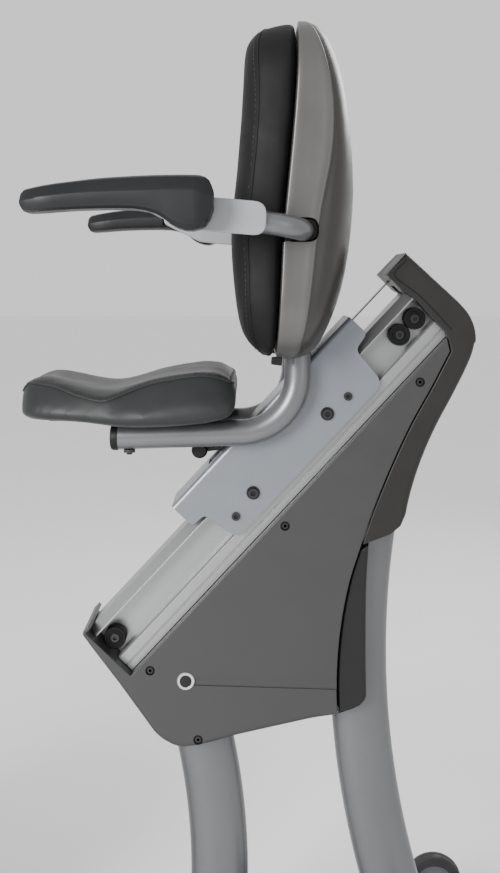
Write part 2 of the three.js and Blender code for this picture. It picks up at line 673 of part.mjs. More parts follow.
function makeArmrests() {
  const path = acrossBike([
    [286, -237, 1197], [326, -236, 1192], [352, -225, 1188], [368, -200, 1185.5], [372, -160, 1185],
    [372, -80, 1185],
  ]);
  const bar = sweep(ovalShape(30, 30, 10, 2.5), path, 26);
  const paddle = prism(rounded([
    [150, 1216, 8], [150, 1234, 8], [243, 1225], [322, 1218, 22], [321, 1174, 22], [243, 1181],
    [214, 1184, 6],
  ]), -257, -249);
  const roomForPaddle = prism([
    [148, 1214], [148, 1236], [243, 1226], [330, 1219], [330, 1173], [243, 1179.5], [212, 1182],
  ], -258, -248);
  part("arm_bar", join(bar, paddle, mirrored(paddle)), silver);
  const stations = [16, 22, 40, 76, 113, 138, 165, 188, 207, 226, 240, 250, 255];
  pair("arm_pad", cut(loft(stations.map(armRing)), roomForPaddle), rubber);
}

// ---------------------------------------------------------------- drive
// One upright plate beside the belt, with the crank's bearing tube, the mast's seat and a foot on the beam.
function driveFrame() {
  const flat = prism(rounded([
    [-590, BEAM.high + GAP], [-238, BEAM.high + GAP], [-272, 330, 20], [-288, 425, 16],
    [-345, 425, 20], [-392, 462], [-392, 478], [-512, 478], [-540, 340, 20],
  ]), 2, 10);
  const bearing = rod(CRANK.x, CRANK.z, 22, -32, 12, 24);
  const head = box(MAST.x - 46, MAST.x + 46, -30, 30, 462, MAST.z - GAP);
  const foot = box(-590, -238, -32, 32, BEAM.high + GAP, 110);
  const wheelRoom = rod(FLYWHEEL.x, FLYWHEEL.z, FLYWHEEL.axle + RUN, -60, 60, 16);
  const crankRoom = rod(CRANK.x, CRANK.z, CRANK.axle + RUN, -60, 60, 16);
  const [ix, iz] = idlerPlace();
  const stud = rod(ix, iz, IDLER.bore, 4, 31, 12);
  return cut(join(flat, bearing, head, foot, stud), wheelRoom, crankRoom);
}

// Outline of a band round two pulleys, grown by a distance.
function bandOutline(grow) {
  const from = new THREE.Vector2(CRANK.x, CRANK.z);
  const to = new THREE.Vector2(FLYWHEEL.x, FLYWHEEL.z);
  const across = to.clone().sub(from);
  const r1 = BELT.big + grow;
  const r2 = BELT.small + grow;
  const lean = Math.acos((r1 - r2) / across.length());
  const aim = across.angle();
  const points = [];
  for (let i = 0; i <= 24; i += 1) {
    const a = aim + lean + (i / 24) * (2 * Math.PI - 2 * lean);
    points.push([from.x + r1 * Math.cos(a), from.y + r1 * Math.sin(a)]);
  }
  for (let i = 0; i <= 8; i += 1) {
    const a = aim - lean + (i / 8) * 2 * lean;
    points.push([to.x + r2 * Math.cos(a), to.y + r2 * Math.sin(a)]);
  }
  return points;
}

// The idler rests on the outside of the belt's lower run.
function idlerPlace() {
  const across = new THREE.Vector2(FLYWHEEL.x - CRANK.x, FLYWHEEL.z - CRANK.z);
  const lean = Math.acos((BELT.big - BELT.small) / across.length());
  const normal = across.angle() + lean;
  const touch = 0.55;
  const reach = BELT.big + (BELT.small - BELT.big) * touch + 1 + BELT.thick + IDLER.radius + 0.4;
  return [
    CRANK.x + across.x * touch + reach * Math.cos(normal),
    CRANK.z + across.y * touch + reach * Math.sin(normal),
  ];
}

// The left crank arm, standing straight up, with the spindle that its pedal turns on.
function crankArm() {
  const { x, z, length, inner, outer } = CRANK;
  const side = [[x - 15, z], [x - 11, z + length], [x + 11, z + length], [x + 15, z]];
  const web = prism(side, -outer + 2, -inner - 2);
  const boss = rod(x, z, 19, -outer, -inner, 24);
  const eye = rod(x, z + length, 14, -outer, -inner - 1, 20);
  const spindle = rod(x, z + length, CRANK.spindle, -196, -outer + 1, 16);
  return cut(join(web, boss, eye, spindle), rod(x, z, CRANK.axle + GAP, -outer - 1, -inner + 1, 16));
}

function pedal() {
  const { x, z, length } = CRANK;
  const at = z + length;
  const corners = [[x - 50, at - 9, 6], [x + 50, at - 9, 6], [x + 50, at + 9, 6], [x - 50, at + 9, 6]];
  const deck = prism(rounded(corners, 2), -192, -88);
  const windows = [];
  for (const middle of [x - 29, x + 29]) {
    for (const y of [-136, -184]) windows.push(box(middle - 13, middle + 13, y, y + 40, at - 20, at + 20));
  }
  const core = rod(x, at, 12, -190, -88, 16);
  return cut(join(cut(deck, ...windows), core), rod(x, at, CRANK.spindle + RUN, -200, -80, 16));
}

function flywheel() {
  const r = FLYWHEEL.radius;
  const a = FLYWHEEL.axle;
  const p = BELT.small;
  const profile = [
    [0, -42], [a, -42], [a, -36], [22, -36], [24, -27], [r - 28, -27], [r - 24, -34], [r, -34],
    [r, -10], [r - 24, -10], [r - 28, -17], [24, -17], [22, -8], [a, -8],
    [a, 14], [p + 3, 14], [p, 17], [p, 31], [p + 3, 33], [a, 33], [a, 40], [0, 40],
  ];
  return turned(profile, FLYWHEEL.x, FLYWHEEL.z, 28);
}

function drivePulley() {
  const r = BELT.big;
  const bore = CRANK.axle + GAP;
  const disc = turned([
    [bore, 14.5], [24, 14.5], [26, 20], [r - 14, 20], [r - 12, 17], [r, 17], [r, 31], [r - 12, 31],
    [r - 14, 27], [26, 27], [24, 33], [bore, 33], [bore, 14.5],
  ], CRANK.x, CRANK.z, 28);
  const holes = [];
  for (let i = 0; i < 5; i += 1) {
    const a = (i / 5) * 2 * Math.PI;
    holes.push(rod(CRANK.x + 51 * Math.cos(a), CRANK.z + 51 * Math.sin(a), 17, 0, 50, 10));
  }
  return cut(disc, ...holes);
}

// A curved magnet carrier just outside the flywheel's rim, on a tongue from the frame plate.
function brake() {
  const r = FLYWHEEL.radius;
  const arc = (radius, from, to) => {
    const out = [];
    for (let i = 0; i <= 8; i += 1) {
      const a = THREE.MathUtils.degToRad(from + ((to - from) * i) / 8);
      out.push([FLYWHEEL.x + radius * Math.cos(a), FLYWHEEL.z + radius * Math.sin(a)]);
    }
    return out;
  };
  const shoe = prism([...arc(r + 2, 62, 118), ...arc(r + 12, 118, 62)], -32, -12);
  const over = FLYWHEEL.z + r;
  const tongue = box(FLYWHEEL.x - 26, FLYWHEEL.x + 26, -13, 1.7, over + 3, over + 12);
  return join(shoe, tongue);
}

function makeDrive() {
  part("drive_frame", driveFrame(), silver);
  part("crank_axle", rod(CRANK.x, CRANK.z, CRANK.axle, -84, 84, 16), steel);
  part("drive_pulley", drivePulley(), rubber);
  const band = prism(bandOutline(1 + BELT.thick), BELT.low, BELT.high);
  part("drive_belt", cut(band, prism(bandOutline(1), 0, 50)), rubber);
  part("flywheel", flywheel(), steel);
  const [ix, iz] = idlerPlace();
  const bore = rod(ix, iz, IDLER.bore + RUN, 0, 50, 12);
  part("idler_pulley", cut(rod(ix, iz, IDLER.radius, 16, 30, 24), bore), rubber);
  part("magnet_brake", brake(), steel);
  const arm = crankArm();
  const foot = pedal();
  part("crank_arm_left", arm, steel);
  part("pedal_left", foot, rubber);
  // The right crank stands half a turn away, so it is the left one turned about the axle's middle.
  const { x, z } = CRANK;
  const across = (g) => g.clone().translate(-x, 0, -z).rotateX(Math.PI).translate(x, 0, z);
  part("crank_arm_right", across(arm), steel);
  part("pedal_right", across(foot), rubber);
}

// The housing's outline in side view, drawn in towards its middle by shrink.
function housingOutline(shrink) {
  const points = [
    [-126, 392], [-140, 470], [-196, 548], [-290, 596], [-400, 622], [-505, 616], [-588, 562],
    [-634, 462], [-642, 340], [-618, 222], [-560, 146], [-470, 114], [-340, 114], [-232, 160],
    [-156, 262],
  ];
  const middle = [-390, 368];
  const vectors = points.map(([x, z]) => new THREE.Vector3(x, 0, z));
  const curve = new THREE.CatmullRomCurve3(vectors, true, "centripetal");
  return curve.getPoints(40).slice(0, -1).map((p) => {
    const d = new THREE.Vector2(p.x - middle[0], p.z - middle[1]);
    d.setLength(d.length() - shrink);
    return [middle[0] + d.x, middle[1] + d.y];
  });
}

function makeHousing() {
  const w = HOUSING.half;
  const body = prism(housingOutline(0), -w, -GAP);
  const hollow = prism(housingOutline(HOUSING.wall), -w + HOUSING.wall, 5);
  const crankHole = rod(CRANK.x, CRANK.z, 24, -90, 0, 24);
  const mastHole = box(MAST.x - 44, MAST.x + 56, -24, 5, 560, 680);
  const footHole = box(-596, -232, -34, 5, 90, 190);
  pair("drive_housing", cut(body, hollow, crankHole, mastHole, footHole), shell);
}

// ---------------------------------------------------------------- mast, console and handlebar
const mastSection = (grow, wall = 0) => ovalShape(MAST.wide + grow, MAST.long + grow, 16, wall);

function makeMast() {
  const foot = new THREE.Vector3(MAST.x, 0, MAST.z - 20);
  const top = new THREE.Vector3(MAST.topX, 0, MAST.topZ);
  const tube = sweep(mastSection(0, MAST.wall), new THREE.LineCurve3(foot, top), 1);
  part("mast", cut(tube, box(-600, -300, -60, 60, 400, MAST.z)), silver);
}

function makeHandlebar() {
  const height = 1107;
  const up = (height - MAST.z) / (MAST.topZ - MAST.z);
  const x = MAST.x + (MAST.topX - MAST.x) * up + MAST.long / 2 + HANDLEBAR_RADIUS + 0.5;
  const path = acrossBike([
    [-236, -232, 1142], [-288, -236, 1130], [-344, -226, 1118], [-374, -190, 1112],
    [x, -120, height], [x, -50, height],
  ]);
  const d = 2 * HANDLEBAR_RADIUS;
  part("handlebar", sweep(ovalShape(d, d, 10, 2.5), path, 28), silver);
}

// A tilted box, round-cornered from the front and from the side, with a socket for the mast's top.
function makeConsole() {
  const h = CONSOLE.height / 2;
  const t = CONSOLE.deep / 2;
  const w = CONSOLE.width / 2;
  const side = rounded([[t, -h, 12], [t, h, 12], [-t * 0.2, h, 12], [-t, h * 0.3, 18], [-t, -h * 0.8, 14]]);
  const body = prism(side, -w, w).rotateY(-CONSOLE.tilt).translate(CONSOLE.x, 0, CONSOLE.z);
  const outline = rounded([[-w, -h, 24], [w, -h, 24], [w, h, 24], [-w, h, 24]]);
  const front = new THREE.ExtrudeGeometry(shapeOf(outline), { depth: 200, bevelEnabled: false });
  front.rotateX(Math.PI / 2).rotateZ(Math.PI / 2).translate(-100, 0, 0);
  front.rotateY(-CONSOLE.tilt).translate(CONSOLE.x, 0, CONSOLE.z);
  const foot = new THREE.Vector3(MAST.x, 0, MAST.z);
  const top = new THREE.Vector3(MAST.topX, 0, MAST.topZ + 0.5);
  const neck = sweep(mastSection(1), new THREE.LineCurve3(foot, top), 1);
  part("console", cut(common(body, front), neck), darkShell);
}

makeRail();
makeBumpers();
makeReel();
makeLegs();
makeBase();
makeWheels();
makeSideCovers();
makeTopCover();
makeCarriage();
makeRollers();
makeLock();
makeSeatFrame();
makeSeatCushion();
makeBackrest();
makeArmrests();
makeDrive();
makeHousing();
makeMast();
makeHandlebar();
makeConsole();

export default root;
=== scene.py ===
"""Looks for the exercise bike. Sizes are in millimetres until make() turns them into metres."""
import math

import bmesh
import bpy
from mathutils import Matrix, Vector


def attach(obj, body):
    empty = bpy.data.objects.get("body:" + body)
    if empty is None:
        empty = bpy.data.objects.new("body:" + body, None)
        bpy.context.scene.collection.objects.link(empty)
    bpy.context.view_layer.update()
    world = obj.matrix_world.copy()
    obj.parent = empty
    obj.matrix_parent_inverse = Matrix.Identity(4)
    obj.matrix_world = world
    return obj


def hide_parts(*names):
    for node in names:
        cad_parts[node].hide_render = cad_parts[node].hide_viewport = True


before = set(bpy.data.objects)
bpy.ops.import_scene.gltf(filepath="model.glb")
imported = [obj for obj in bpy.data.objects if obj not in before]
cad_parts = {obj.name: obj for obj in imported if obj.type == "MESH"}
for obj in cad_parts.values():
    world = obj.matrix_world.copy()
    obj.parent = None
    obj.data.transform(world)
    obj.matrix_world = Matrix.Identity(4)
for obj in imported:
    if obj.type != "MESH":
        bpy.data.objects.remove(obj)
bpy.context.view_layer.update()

MM = 0.001
SIDES = {"left": -1, "right": 1}

# Where the rail lies: s runs up along it, t stands square to it, both from the lower end's middle.
RAIL_ANGLE = math.radians(46.8)
RAIL_X, RAIL_Z = 90, 576
RAIL_FRAME = Matrix.Translation((RAIL_X * MM, 0, RAIL_Z * MM)) @ Matrix.Rotation(-RAIL_ANGLE, 4, "Y")


# ---------------------------------------------------------------- mesh helpers
def on_rail(s, t):
    """The (x, z) of a point s along the rail and t across it."""
    c, n = math.cos(RAIL_ANGLE), math.sin(RAIL_ANGLE)
    return RAIL_X + s * c - t * n, RAIL_Z + s * n + t * c


def off_rail(point):
    """How far an (x, z) point lies along the rail and across it."""
    x, z = point[0] - RAIL_X, point[1] - RAIL_Z
    c, n = math.cos(RAIL_ANGLE), math.sin(RAIL_ANGLE)
    return x * c + z * n, z * c - x * n


def link(name, mesh, angle=32):
    """An object of a mesh, smooth but for edges sharper than angle."""
    obj = bpy.data.objects.new(name, mesh)
    bpy.context.scene.collection.objects.link(obj)
    shade(obj, angle)
    return obj


def shade(obj, angle=32):
    for polygon in obj.data.polygons:
        polygon.use_smooth = True
    obj.data.set_sharp_from_angle(angle=math.radians(angle))


def make(name, vertices, faces, matrix=None, angle=32):
    """An object from points in millimetres."""
    mesh = bpy.data.meshes.new(name)
    mesh.from_pydata([Vector(v) * MM for v in vertices], [], faces)
    if matrix:
        mesh.transform(matrix)
    edit(mesh, lambda b: bmesh.ops.recalc_face_normals(b, faces=b.faces))
    return link(name, mesh, angle)


def edit(mesh, work):
    """Runs work on the mesh as a bmesh."""
    b = bmesh.new()
    b.from_mesh(mesh)
    work(b)
    b.to_mesh(mesh)
    b.free()
    mesh.update()


def applied(obj, angle=32):
    """The object with its modifiers applied."""
    graph = bpy.context.evaluated_depsgraph_get()
    mesh = bpy.data.meshes.new_from_object(obj.evaluated_get(graph))
    obj.modifiers.clear()
    obj.data = mesh
    shade(obj, angle)
    return obj


def carve(obj, *cutters, operation="DIFFERENCE", angle=32):
    """Cuts the cutters out of obj, or joins them to it, and removes them."""
    for cutter in cutters:
        modifier = obj.modifiers.new("carve", "BOOLEAN")
        modifier.operation = operation
        modifier.solver = "EXACT"
        modifier.object = cutter
    applied(obj, angle)
    for cutter in cutters:
        bpy.data.objects.remove(cutter)
    return obj


def rounded(corners, steps=6):
    """Outline points; a corner of three numbers is rounded by the third."""
    points = []
    for i, corner in enumerate(corners):
        if len(corner) < 3 or not corner[2]:
            points.append(tuple(corner[:2]))
            continue
        at = Vector(corner[:2])
        before = (Vector(corners[i - 1][:2]) - at).normalized()
        after = (Vector(corners[(i + 1) % len(corners)][:2]) - at).normalized()
        start, end = at + before * corner[2], at + after * corner[2]
        for k in range(steps + 1):
            u = k / steps
            points.append(tuple((1 - u) ** 2 * start + 2 * u * (1 - u) * at + u * u * end))
    return points


def fine(points, step):
    """The outline with its long edges split, none longer than step."""
    split = []
    for a, b in zip(points, [*points[1:], points[0]]):
        count = max(1, math.ceil((Vector(b) - Vector(a)).length / step))
        split += [tuple(Vector(a).lerp(Vector(b), k / count)) for k in range(count)]
    return split


def inward(outline):
    """For each point of a closed outline, the step that moves its edges in by 1."""
    points = [Vector(p) for p in outline]
    turn = sum(a.cross(b) for a, b in zip(points, [*points[1:], points[0]]))
    sign = 1 if turn > 0 else -1
    steps = []
    for i, point in enumerate(points):
        before = (point - points[i - 1]).normalized()
        after = (points[(i + 1) % len(points)] - point).normalized()
        normals = [Vector((-d.y, d.x)) * sign for d in (before, after)]
        steps.append((normals[0] + normals[1]) / max(0.3, 1 + normals[0].dot(normals[1])))
    return steps


def prism(name, outline, low, high, rim=0.0, rims=(True, True), segments=4, matrix=None, angle=32):
    """An (x, z) outline pushed across the bike from low to high.

    rim is the radius of its rounded rims, or a function that gives the radius at an outline point.
    """
    radii = [rim(p) if callable(rim) else rim for p in outline]
    steps = inward(outline) if any(radii) else [Vector((0, 0))] * len(outline)

    def ring(face, out, turned):
        points = []
        for (x, z), step, r in zip(outline, steps, radii):
            inset = r * (1 - math.sin(turned))
            points.append((x + step.x * inset, face + out * r * (1 - math.cos(turned)), z + step.y * inset))
        return points

    def end(face, out, on):
        if not on or not any(radii):
            return [[(x, face, z) for x, z in outline]]
        return [ring(face, out, k / segments * math.pi / 2) for k in range(segments + 1)]

    return loft(name, end(low, 1, rims[0]) + end(high, -1, rims[1])[::-1], matrix, angle)


def loft(name, rings, matrix=None, angle=40, closed=True):
    """A skin through rings of points, with its ends filled."""
    n = len(rings[0])
    vertices = [p for ring in rings for p in ring]
    faces = []
    for r in range(len(rings) - 1):
        for i in range(n):
            a, b = r * n + i, r * n + (i + 1) % n
            faces.append((a, b, b + n, a + n))
    if closed:
        faces.append(tuple(range(n)))
        faces.append(tuple(range((len(rings) - 1) * n, len(rings) * n)))
    return make(name, vertices, faces, matrix, angle)


def lathe(name, profile, centre, axis="Y", sides=48, matrix=None, angle=32):
    """A piece turned about a line through centre; the profile's points are (radius, along)."""
    rings = []
    for radius, along in profile:
        ring = []
        for k in range(sides):
            a = 2 * math.pi * k / sides
            u, v = radius * math.cos(a), radius * math.sin(a)
            offset = {"X": (along, u, v), "Y": (u, along, v), "Z": (u, v, along)}[axis]
            ring.append(Vector(centre) + Vector(offset))
        rings.append(ring)
    obj = loft(name, rings, matrix, angle, closed=profile[0] != profile[-1])
    edit(obj.data, lambda b: bmesh.ops.remove_doubles(b, verts=b.verts, dist=1e-6))
    shade(obj, angle)
    return obj


def spline(points, per=8):
    """Points along a smooth curve through the given ones."""
    points = [Vector(p) for p in points]
    ends = [2 * points[0] - points[1], *points, 2 * points[-1] - points[-2]]
    path = []
    for i in range(1, len(ends) - 2):
        p0, p1, p2, p3 = ends[i - 1 : i + 3]
        t1 = (p1 - p0).length ** 0.5
        t2 = t1 + (p2 - p1).length ** 0.5
        t3 = t2 + (p3 - p2).length ** 0.5
        for k in range(per):
            t = t1 + (t2 - t1) * k / per
            a1 = p0 * ((t1 - t) / t1) + p1 * (t / t1)
            a2 = p1 * ((t2 - t) / (t2 - t1)) + p2 * ((t - t1) / (t2 - t1))
            a3 = p2 * ((t3 - t) / (t3 - t2)) + p3 * ((t - t2) / (t3 - t2))
            b1 = a1 * ((t2 - t) / t2) + a2 * (t / t2)
            b2 = a2 * ((t3 - t) / (t3 - t1)) + a3 * ((t - t1) / (t3 - t1))
            path.append(b1 * ((t2 - t) / (t2 - t1)) + b2 * ((t - t1) / (t2 - t1)))
    path.append(points[-1])
    return path


def tube(name, path, wide, long=None, sides=32, start=(0, 1, 0), matrix=None):
    """A round or oval bar along a path; wide is its radius along start, long its other radius."""
    path = [Vector(p) for p in path]
    long = long or wide
    normal, tangent, rings = Vector(start), None, []
    for i, point in enumerate(path):
        ahead = (path[min(i + 1, len(path) - 1)] - path[max(i - 1, 0)]).normalized()
        if tangent:
            normal = tangent.rotation_difference(ahead) @ normal
        tangent = ahead
        normal = (normal - tangent * normal.dot(tangent)).normalized()
        across = tangent.cross(normal)
        ring = []
        for k in range(sides):
            a = 2 * math.pi * k / sides
            ring.append(point + normal * wide * math.cos(a) + across * long * math.sin(a))
        rings.append(ring)
    return loft(name, rings, matrix)


def at(table, x):
    """The value at x on a smooth curve through (x, value) pairs."""
    if x <= table[0][0]:
        return table[0][1]
    for i in range(len(table) - 1):
        (x0, v0), (x1, v1) = table[i], table[i + 1]
        if x <= x1:
            xa, va = table[max(i - 1, 0)]
            xb, vb = table[min(i + 2, len(table) - 1)]
            m0 = (v1 - va) / (x1 - xa) * (x1 - x0)
            m1 = (vb - v0) / (xb - x0) * (x1 - x0)
            u = (x - x0) / (x1 - x0)
            h = u * u * (3 - 2 * u)
            return v0 * (1 - h) + v1 * h + m0 * u * (1 - u) ** 2 - m1 * u * u * (1 - u)
    return table[-1][1]


def soften(obj, width, angle=30, segments=2):
    """Rounds the edges sharper than angle."""
    modifier = obj.modifiers.new("edges", "BEVEL")
    modifier.width = width * MM
    modifier.segments = segments
    modifier.limit_method = "ANGLE"
    modifier.angle_limit = math.radians(angle)
    return applied(obj, angle)


def mirror(obj, name):
    """The same piece on the other side of the bike."""
    mesh = obj.data.copy()
    mesh.transform(Matrix.Scale(-1, 4, (0, 1, 0)))
    mesh.flip_normals()
    return link(name, mesh)


def piece(obj, body, slot, material, *nodes):
    """Gives obj its material and body, and hides the CAD nodes it stands for; slot is not used."""
    normals = obj.modifiers.new("even_faces", "WEIGHTED_NORMAL")
    normals.keep_sharp = True
    obj.data.materials.clear()
    obj.data.materials.append(material)
    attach(obj, body)
    if nodes:
        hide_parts(*nodes)
    return obj


def both(obj, name, body, slot, material, *nodes):
    """The piece made for the left side, and its mirror image, named NAME_left and NAME_right."""
    obj.name = f"{name}_left"
    other = mirror(obj, f"{name}_right")
    for side, made in (("left", obj), ("right", other)):
        piece(made, body.format(side), slot, material, *[n.format(side) for n in nodes])
    return obj, other


def refined(node, body, slot, material, bevel=0.8, segments=2, angle=30):
    """A CAD node's shape with its edges rounded, standing for that node."""
    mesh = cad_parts[node].data.copy()
    mesh.materials.clear()
    obj = link(f"{node}_finish", mesh)
    if mesh.has_custom_normals:
        bpy.context.view_layer.objects.active = obj
        bpy.ops.mesh.customdata_custom_splitnormals_clear()

    def clean(b):
        bmesh.ops.remove_doubles(b, verts=b.verts, dist=2e-6)
        bmesh.ops.dissolve_limit(b, angle_limit=math.radians(0.6), verts=b.verts, edges=b.edges)

    edit(mesh, clean)
    if bevel:
        soften(obj, bevel, angle, segments)
    return piece(obj, body, slot, material, node)


# ---------------------------------------------------------------- materials
def surface(
    name, color, roughness, metallic=0.0, mottle=0.05, mottle_scale=9.0, spread=0.06, grain=(),
    lines=None, coat=0.0, sheen=0.0, specular=0.5, wear=0.0,
):
    """A finish whose colour and gloss vary a little, with fine relief.

    grain is a list of (texture, size in mm, depth in mm); lines is (rotation, stretch) of brushed lines.
    """
    material = bpy.data.materials.new(name)
    material.use_nodes = True
    nodes, links = material.node_tree.nodes, material.node_tree.links
    shader = nodes["Principled BSDF"]
    shader.inputs["Metallic"].default_value = metallic
    shader.inputs["Specular IOR Level"].default_value = specular
    shader.inputs["Coat Weight"].default_value = coat
    shader.inputs["Coat Roughness"].default_value = 0.15
    shader.inputs["Sheen Weight"].default_value = sheen
    place = nodes.new("ShaderNodeTexCoord").outputs["Object"]

    def noise(scale, detail=3.0, vector=place):
        texture = nodes.new("ShaderNodeTexNoise")
        texture.inputs["Scale"].default_value = scale
        texture.inputs["Detail"].default_value = detail
        links.new(vector, texture.inputs["Vector"])
        return texture.outputs["Fac"]

    def ranged(value, low, high, start=0.3, end=0.7):
        span = nodes.new("ShaderNodeMapRange")
        span.inputs["From Min"].default_value = start
        span.inputs["From Max"].default_value = end
        span.inputs["To Min"].default_value = low
        span.inputs["To Max"].default_value = high
        links.new(value, span.inputs["Value"])
        return span.outputs["Result"]

    tint = nodes.new("ShaderNodeMix")
    tint.data_type = "RGBA"
    tint.inputs["A"].default_value = (*[c * (1 - mottle) for c in color], 1)
    tint.inputs["B"].default_value = (*[min(1, c * (1 + mottle)) for c in color], 1)
    links.new(ranged(noise(mottle_scale, 6), 0, 1), tint.inputs["Factor"])
    paint = tint.outputs["Result"]
    if wear:
        edge = nodes.new("ShaderNodeNewGeometry").outputs["Pointiness"]
        worn = nodes.new("ShaderNodeMix")
        worn.data_type = "RGBA"
        worn.inputs["B"].default_value = (*[min(1, c * (1 + wear) + 0.02) for c in color], 1)
        links.new(ranged(edge, 0, 1, 0.52, 0.62), worn.inputs["Factor"])
        links.new(paint, worn.inputs["A"])
        paint = worn.outputs["Result"]
    links.new(paint, shader.inputs["Base Color"])
    gloss = noise(mottle_scale * 2.7, 5)
    if lines:
        rotation, stretch = lines
        mapping = nodes.new("ShaderNodeMapping")
        mapping.vector_type = "TEXTURE"
        mapping.inputs["Rotation"].default_value = rotation
        mapping.inputs["Scale"].default_value = stretch
        links.new(place, mapping.inputs["Vector"])
        gloss = noise(9.0, 4, mapping.outputs["Vector"])
    links.new(ranged(gloss, roughness - spread, roughness + spread), shader.inputs["Roughness"])
    normal = None
    for kind, size, depth in grain:
        if kind == "cells":
            texture = nodes.new("ShaderNodeTexVoronoi")
            texture.inputs["Scale"].default_value = 1000 / size
            links.new(place, texture.inputs["Vector"])
            height = texture.outputs["Distance"]
        elif kind == "lines":
            height = gloss
        else:
            height = noise(1000 / size, 2)
        bump = nodes.new("ShaderNodeBump")
        bump.inputs["Strength"].default_value = 0.6
        bump.inputs["Distance"].default_value = depth * MM
        links.new(height, bump.inputs["Height"])
        if normal:
            links.new(normal, bump.inputs["Normal"])
        normal = bump.outputs["Normal"]
    if normal:
        links.new(normal, shader.inputs["Normal"])
    return material


RAIL_LINES = ((0, -RAIL_ANGLE, 0), (4.0, 0.02, 0.02))
vinyl = surface("seat_vinyl", (0.012, 0.0127, 0.0133), 0.5, mottle=0.12, spread=0.06, sheen=0.05,
                grain=[("cells", 1.3, 0.12), ("noise", 9, 0.25)], specular=0.35)
back_vinyl = surface("back_vinyl", (0.006, 0.006, 0.0065), 0.6, mottle=0.12, spread=0.06, sheen=0.02,
                     grain=[("cells", 1.3, 0.12), ("noise", 9, 0.25)], specular=0.15)
thread = surface("seam_thread", (0.022, 0.022, 0.023), 0.7, grain=[("noise", 0.8, 0.1)])
frame_paint = surface("frame_paint", (0.14, 0.142, 0.147), 0.34, metallic=0.6, mottle=0.03, spread=0.05,
                      grain=[("noise", 0.7, 0.02)], coat=0.25)
leg_paint = surface("leg_paint", (0.125, 0.127, 0.131), 0.36, metallic=0.6, mottle=0.03, spread=0.05,
                    grain=[("noise", 0.7, 0.02)], coat=0.2)
carriage_paint = surface("carriage_paint", (0.18, 0.192, 0.212), 0.36, metallic=0.35, mottle=0.025,
                         grain=[("noise", 0.7, 0.02)], coat=0.25)
paddle_paint = surface("paddle_paint", (0.30, 0.31, 0.325), 0.38, metallic=0.35, mottle=0.03,
                       grain=[("noise", 0.7, 0.02)], coat=0.2)
anodised = surface("anodised_rail", (0.33, 0.333, 0.336), 0.34, metallic=0.75, mottle=0.015, spread=0.025,
                   lines=RAIL_LINES, grain=[("lines", 1, 0.0006)])
zinc = surface("zinc_plate", (0.46, 0.465, 0.47), 0.36, metallic=0.9, mottle=0.08, mottle_scale=40,
               spread=0.1, grain=[("noise", 0.6, 0.02)])
dark_bolt = surface("dark_bolt", (0.006, 0.006, 0.007), 0.25, specular=0.4, mottle=0.1, mottle_scale=60,
                    grain=[("noise", 0.6, 0.02)], wear=0.8)
side_plastic = surface("side_cover_plastic", (0.027, 0.027, 0.027), 0.40, mottle=0.05, spread=0.05,
                       grain=[("noise", 0.9, 0.05)], specular=0.5)
# Near-black plastic for the badge disc; on the rear strip its darkness is painted shade for the covers' rear
# part, which slopes away from the light.
dark_plastic_and_painted_shade = surface("badge_dark_and_strip_painted_shade", (0.007, 0.007, 0.0068), 0.42, mottle=0.05, specular=0.3,
                        grain=[("noise", 0.9, 0.05)])
top_plastic = surface("top_cover_plastic", (0.013, 0.0122, 0.0115), 0.42, mottle=0.05, specular=0.3,
                      grain=[("noise", 0.9, 0.05)])
back_plastic = surface("back_cover_plastic", (0.020, 0.0182, 0.0155), 0.36, mottle=0.06,
                       grain=[("noise", 0.9, 0.04)])
trim_paint = surface("trim_paint", (0.092, 0.090, 0.087), 0.36, metallic=0.45, mottle=0.03, spread=0.05,
                     grain=[("noise", 0.8, 0.02)], coat=0.1)
pad_foam = surface("arm_pad_foam", (0.006, 0.0064, 0.0075), 0.42, mottle=0.1, spread=0.05,
                   grain=[("cells", 0.9, 0.06)], specular=0.3)
rubber = surface("black_rubber", (0.006, 0.006, 0.006), 0.5, mottle=0.15, mottle_scale=30, specular=0.2,
                 grain=[("noise", 1.2, 0.06)])
tyre = surface("wheel_tyre", (0.016, 0.016, 0.016), 0.6, mottle=0.2, mottle_scale=25, spread=0.1,
               grain=[("noise", 1.5, 0.1)])
hub_plastic = surface("wheel_hub", (0.09, 0.09, 0.095), 0.4, grain=[("noise", 0.9, 0.03)])
iron = surface("flywheel_iron", (0.20, 0.20, 0.205), 0.35, metallic=0.85, mottle=0.08, spread=0.1,
               grain=[("noise", 0.8, 0.04)])
screen_glass = surface("screen_glass", (0.006, 0.008, 0.011), 0.08, mottle=0.2, spread=0.02, coat=0.6)
badge_metal = surface("badge_metal", (0.62, 0.62, 0.63), 0.2, metallic=0.95, mottle=0.03, spread=0.05)


# ---------------------------------------------------------------- camera and light
def set_camera():
    """The straight side view, at the height of the backrest's foot."""
    data = bpy.data.cameras.new("camera")
    data.lens = 43.96
    data.sensor_width = 36
    data.shift_x = 0.0006
    data.shift_y = -0.1808
    camera = bpy.data.objects.new("camera", data)
    camera.location = (0.300, -1.615, 1.120)
    camera.rotation_euler = (math.radians(90), 0, 0)
    bpy.context.scene.collection.objects.link(camera)
    bpy.context.scene.camera = camera


def area_light(name, place, target, size, power):
    data = bpy.data.lights.new(name, "AREA")
    data.shape = "RECTANGLE"
    data.size, data.size_y = size
    data.energy = power
    light = bpy.data.objects.new(name, data)
    light.location = place
    light.rotation_euler = (Vector(target) - Vector(place)).to_track_quat("-Z", "Y").to_euler()
    bpy.context.scene.collection.objects.link(light)


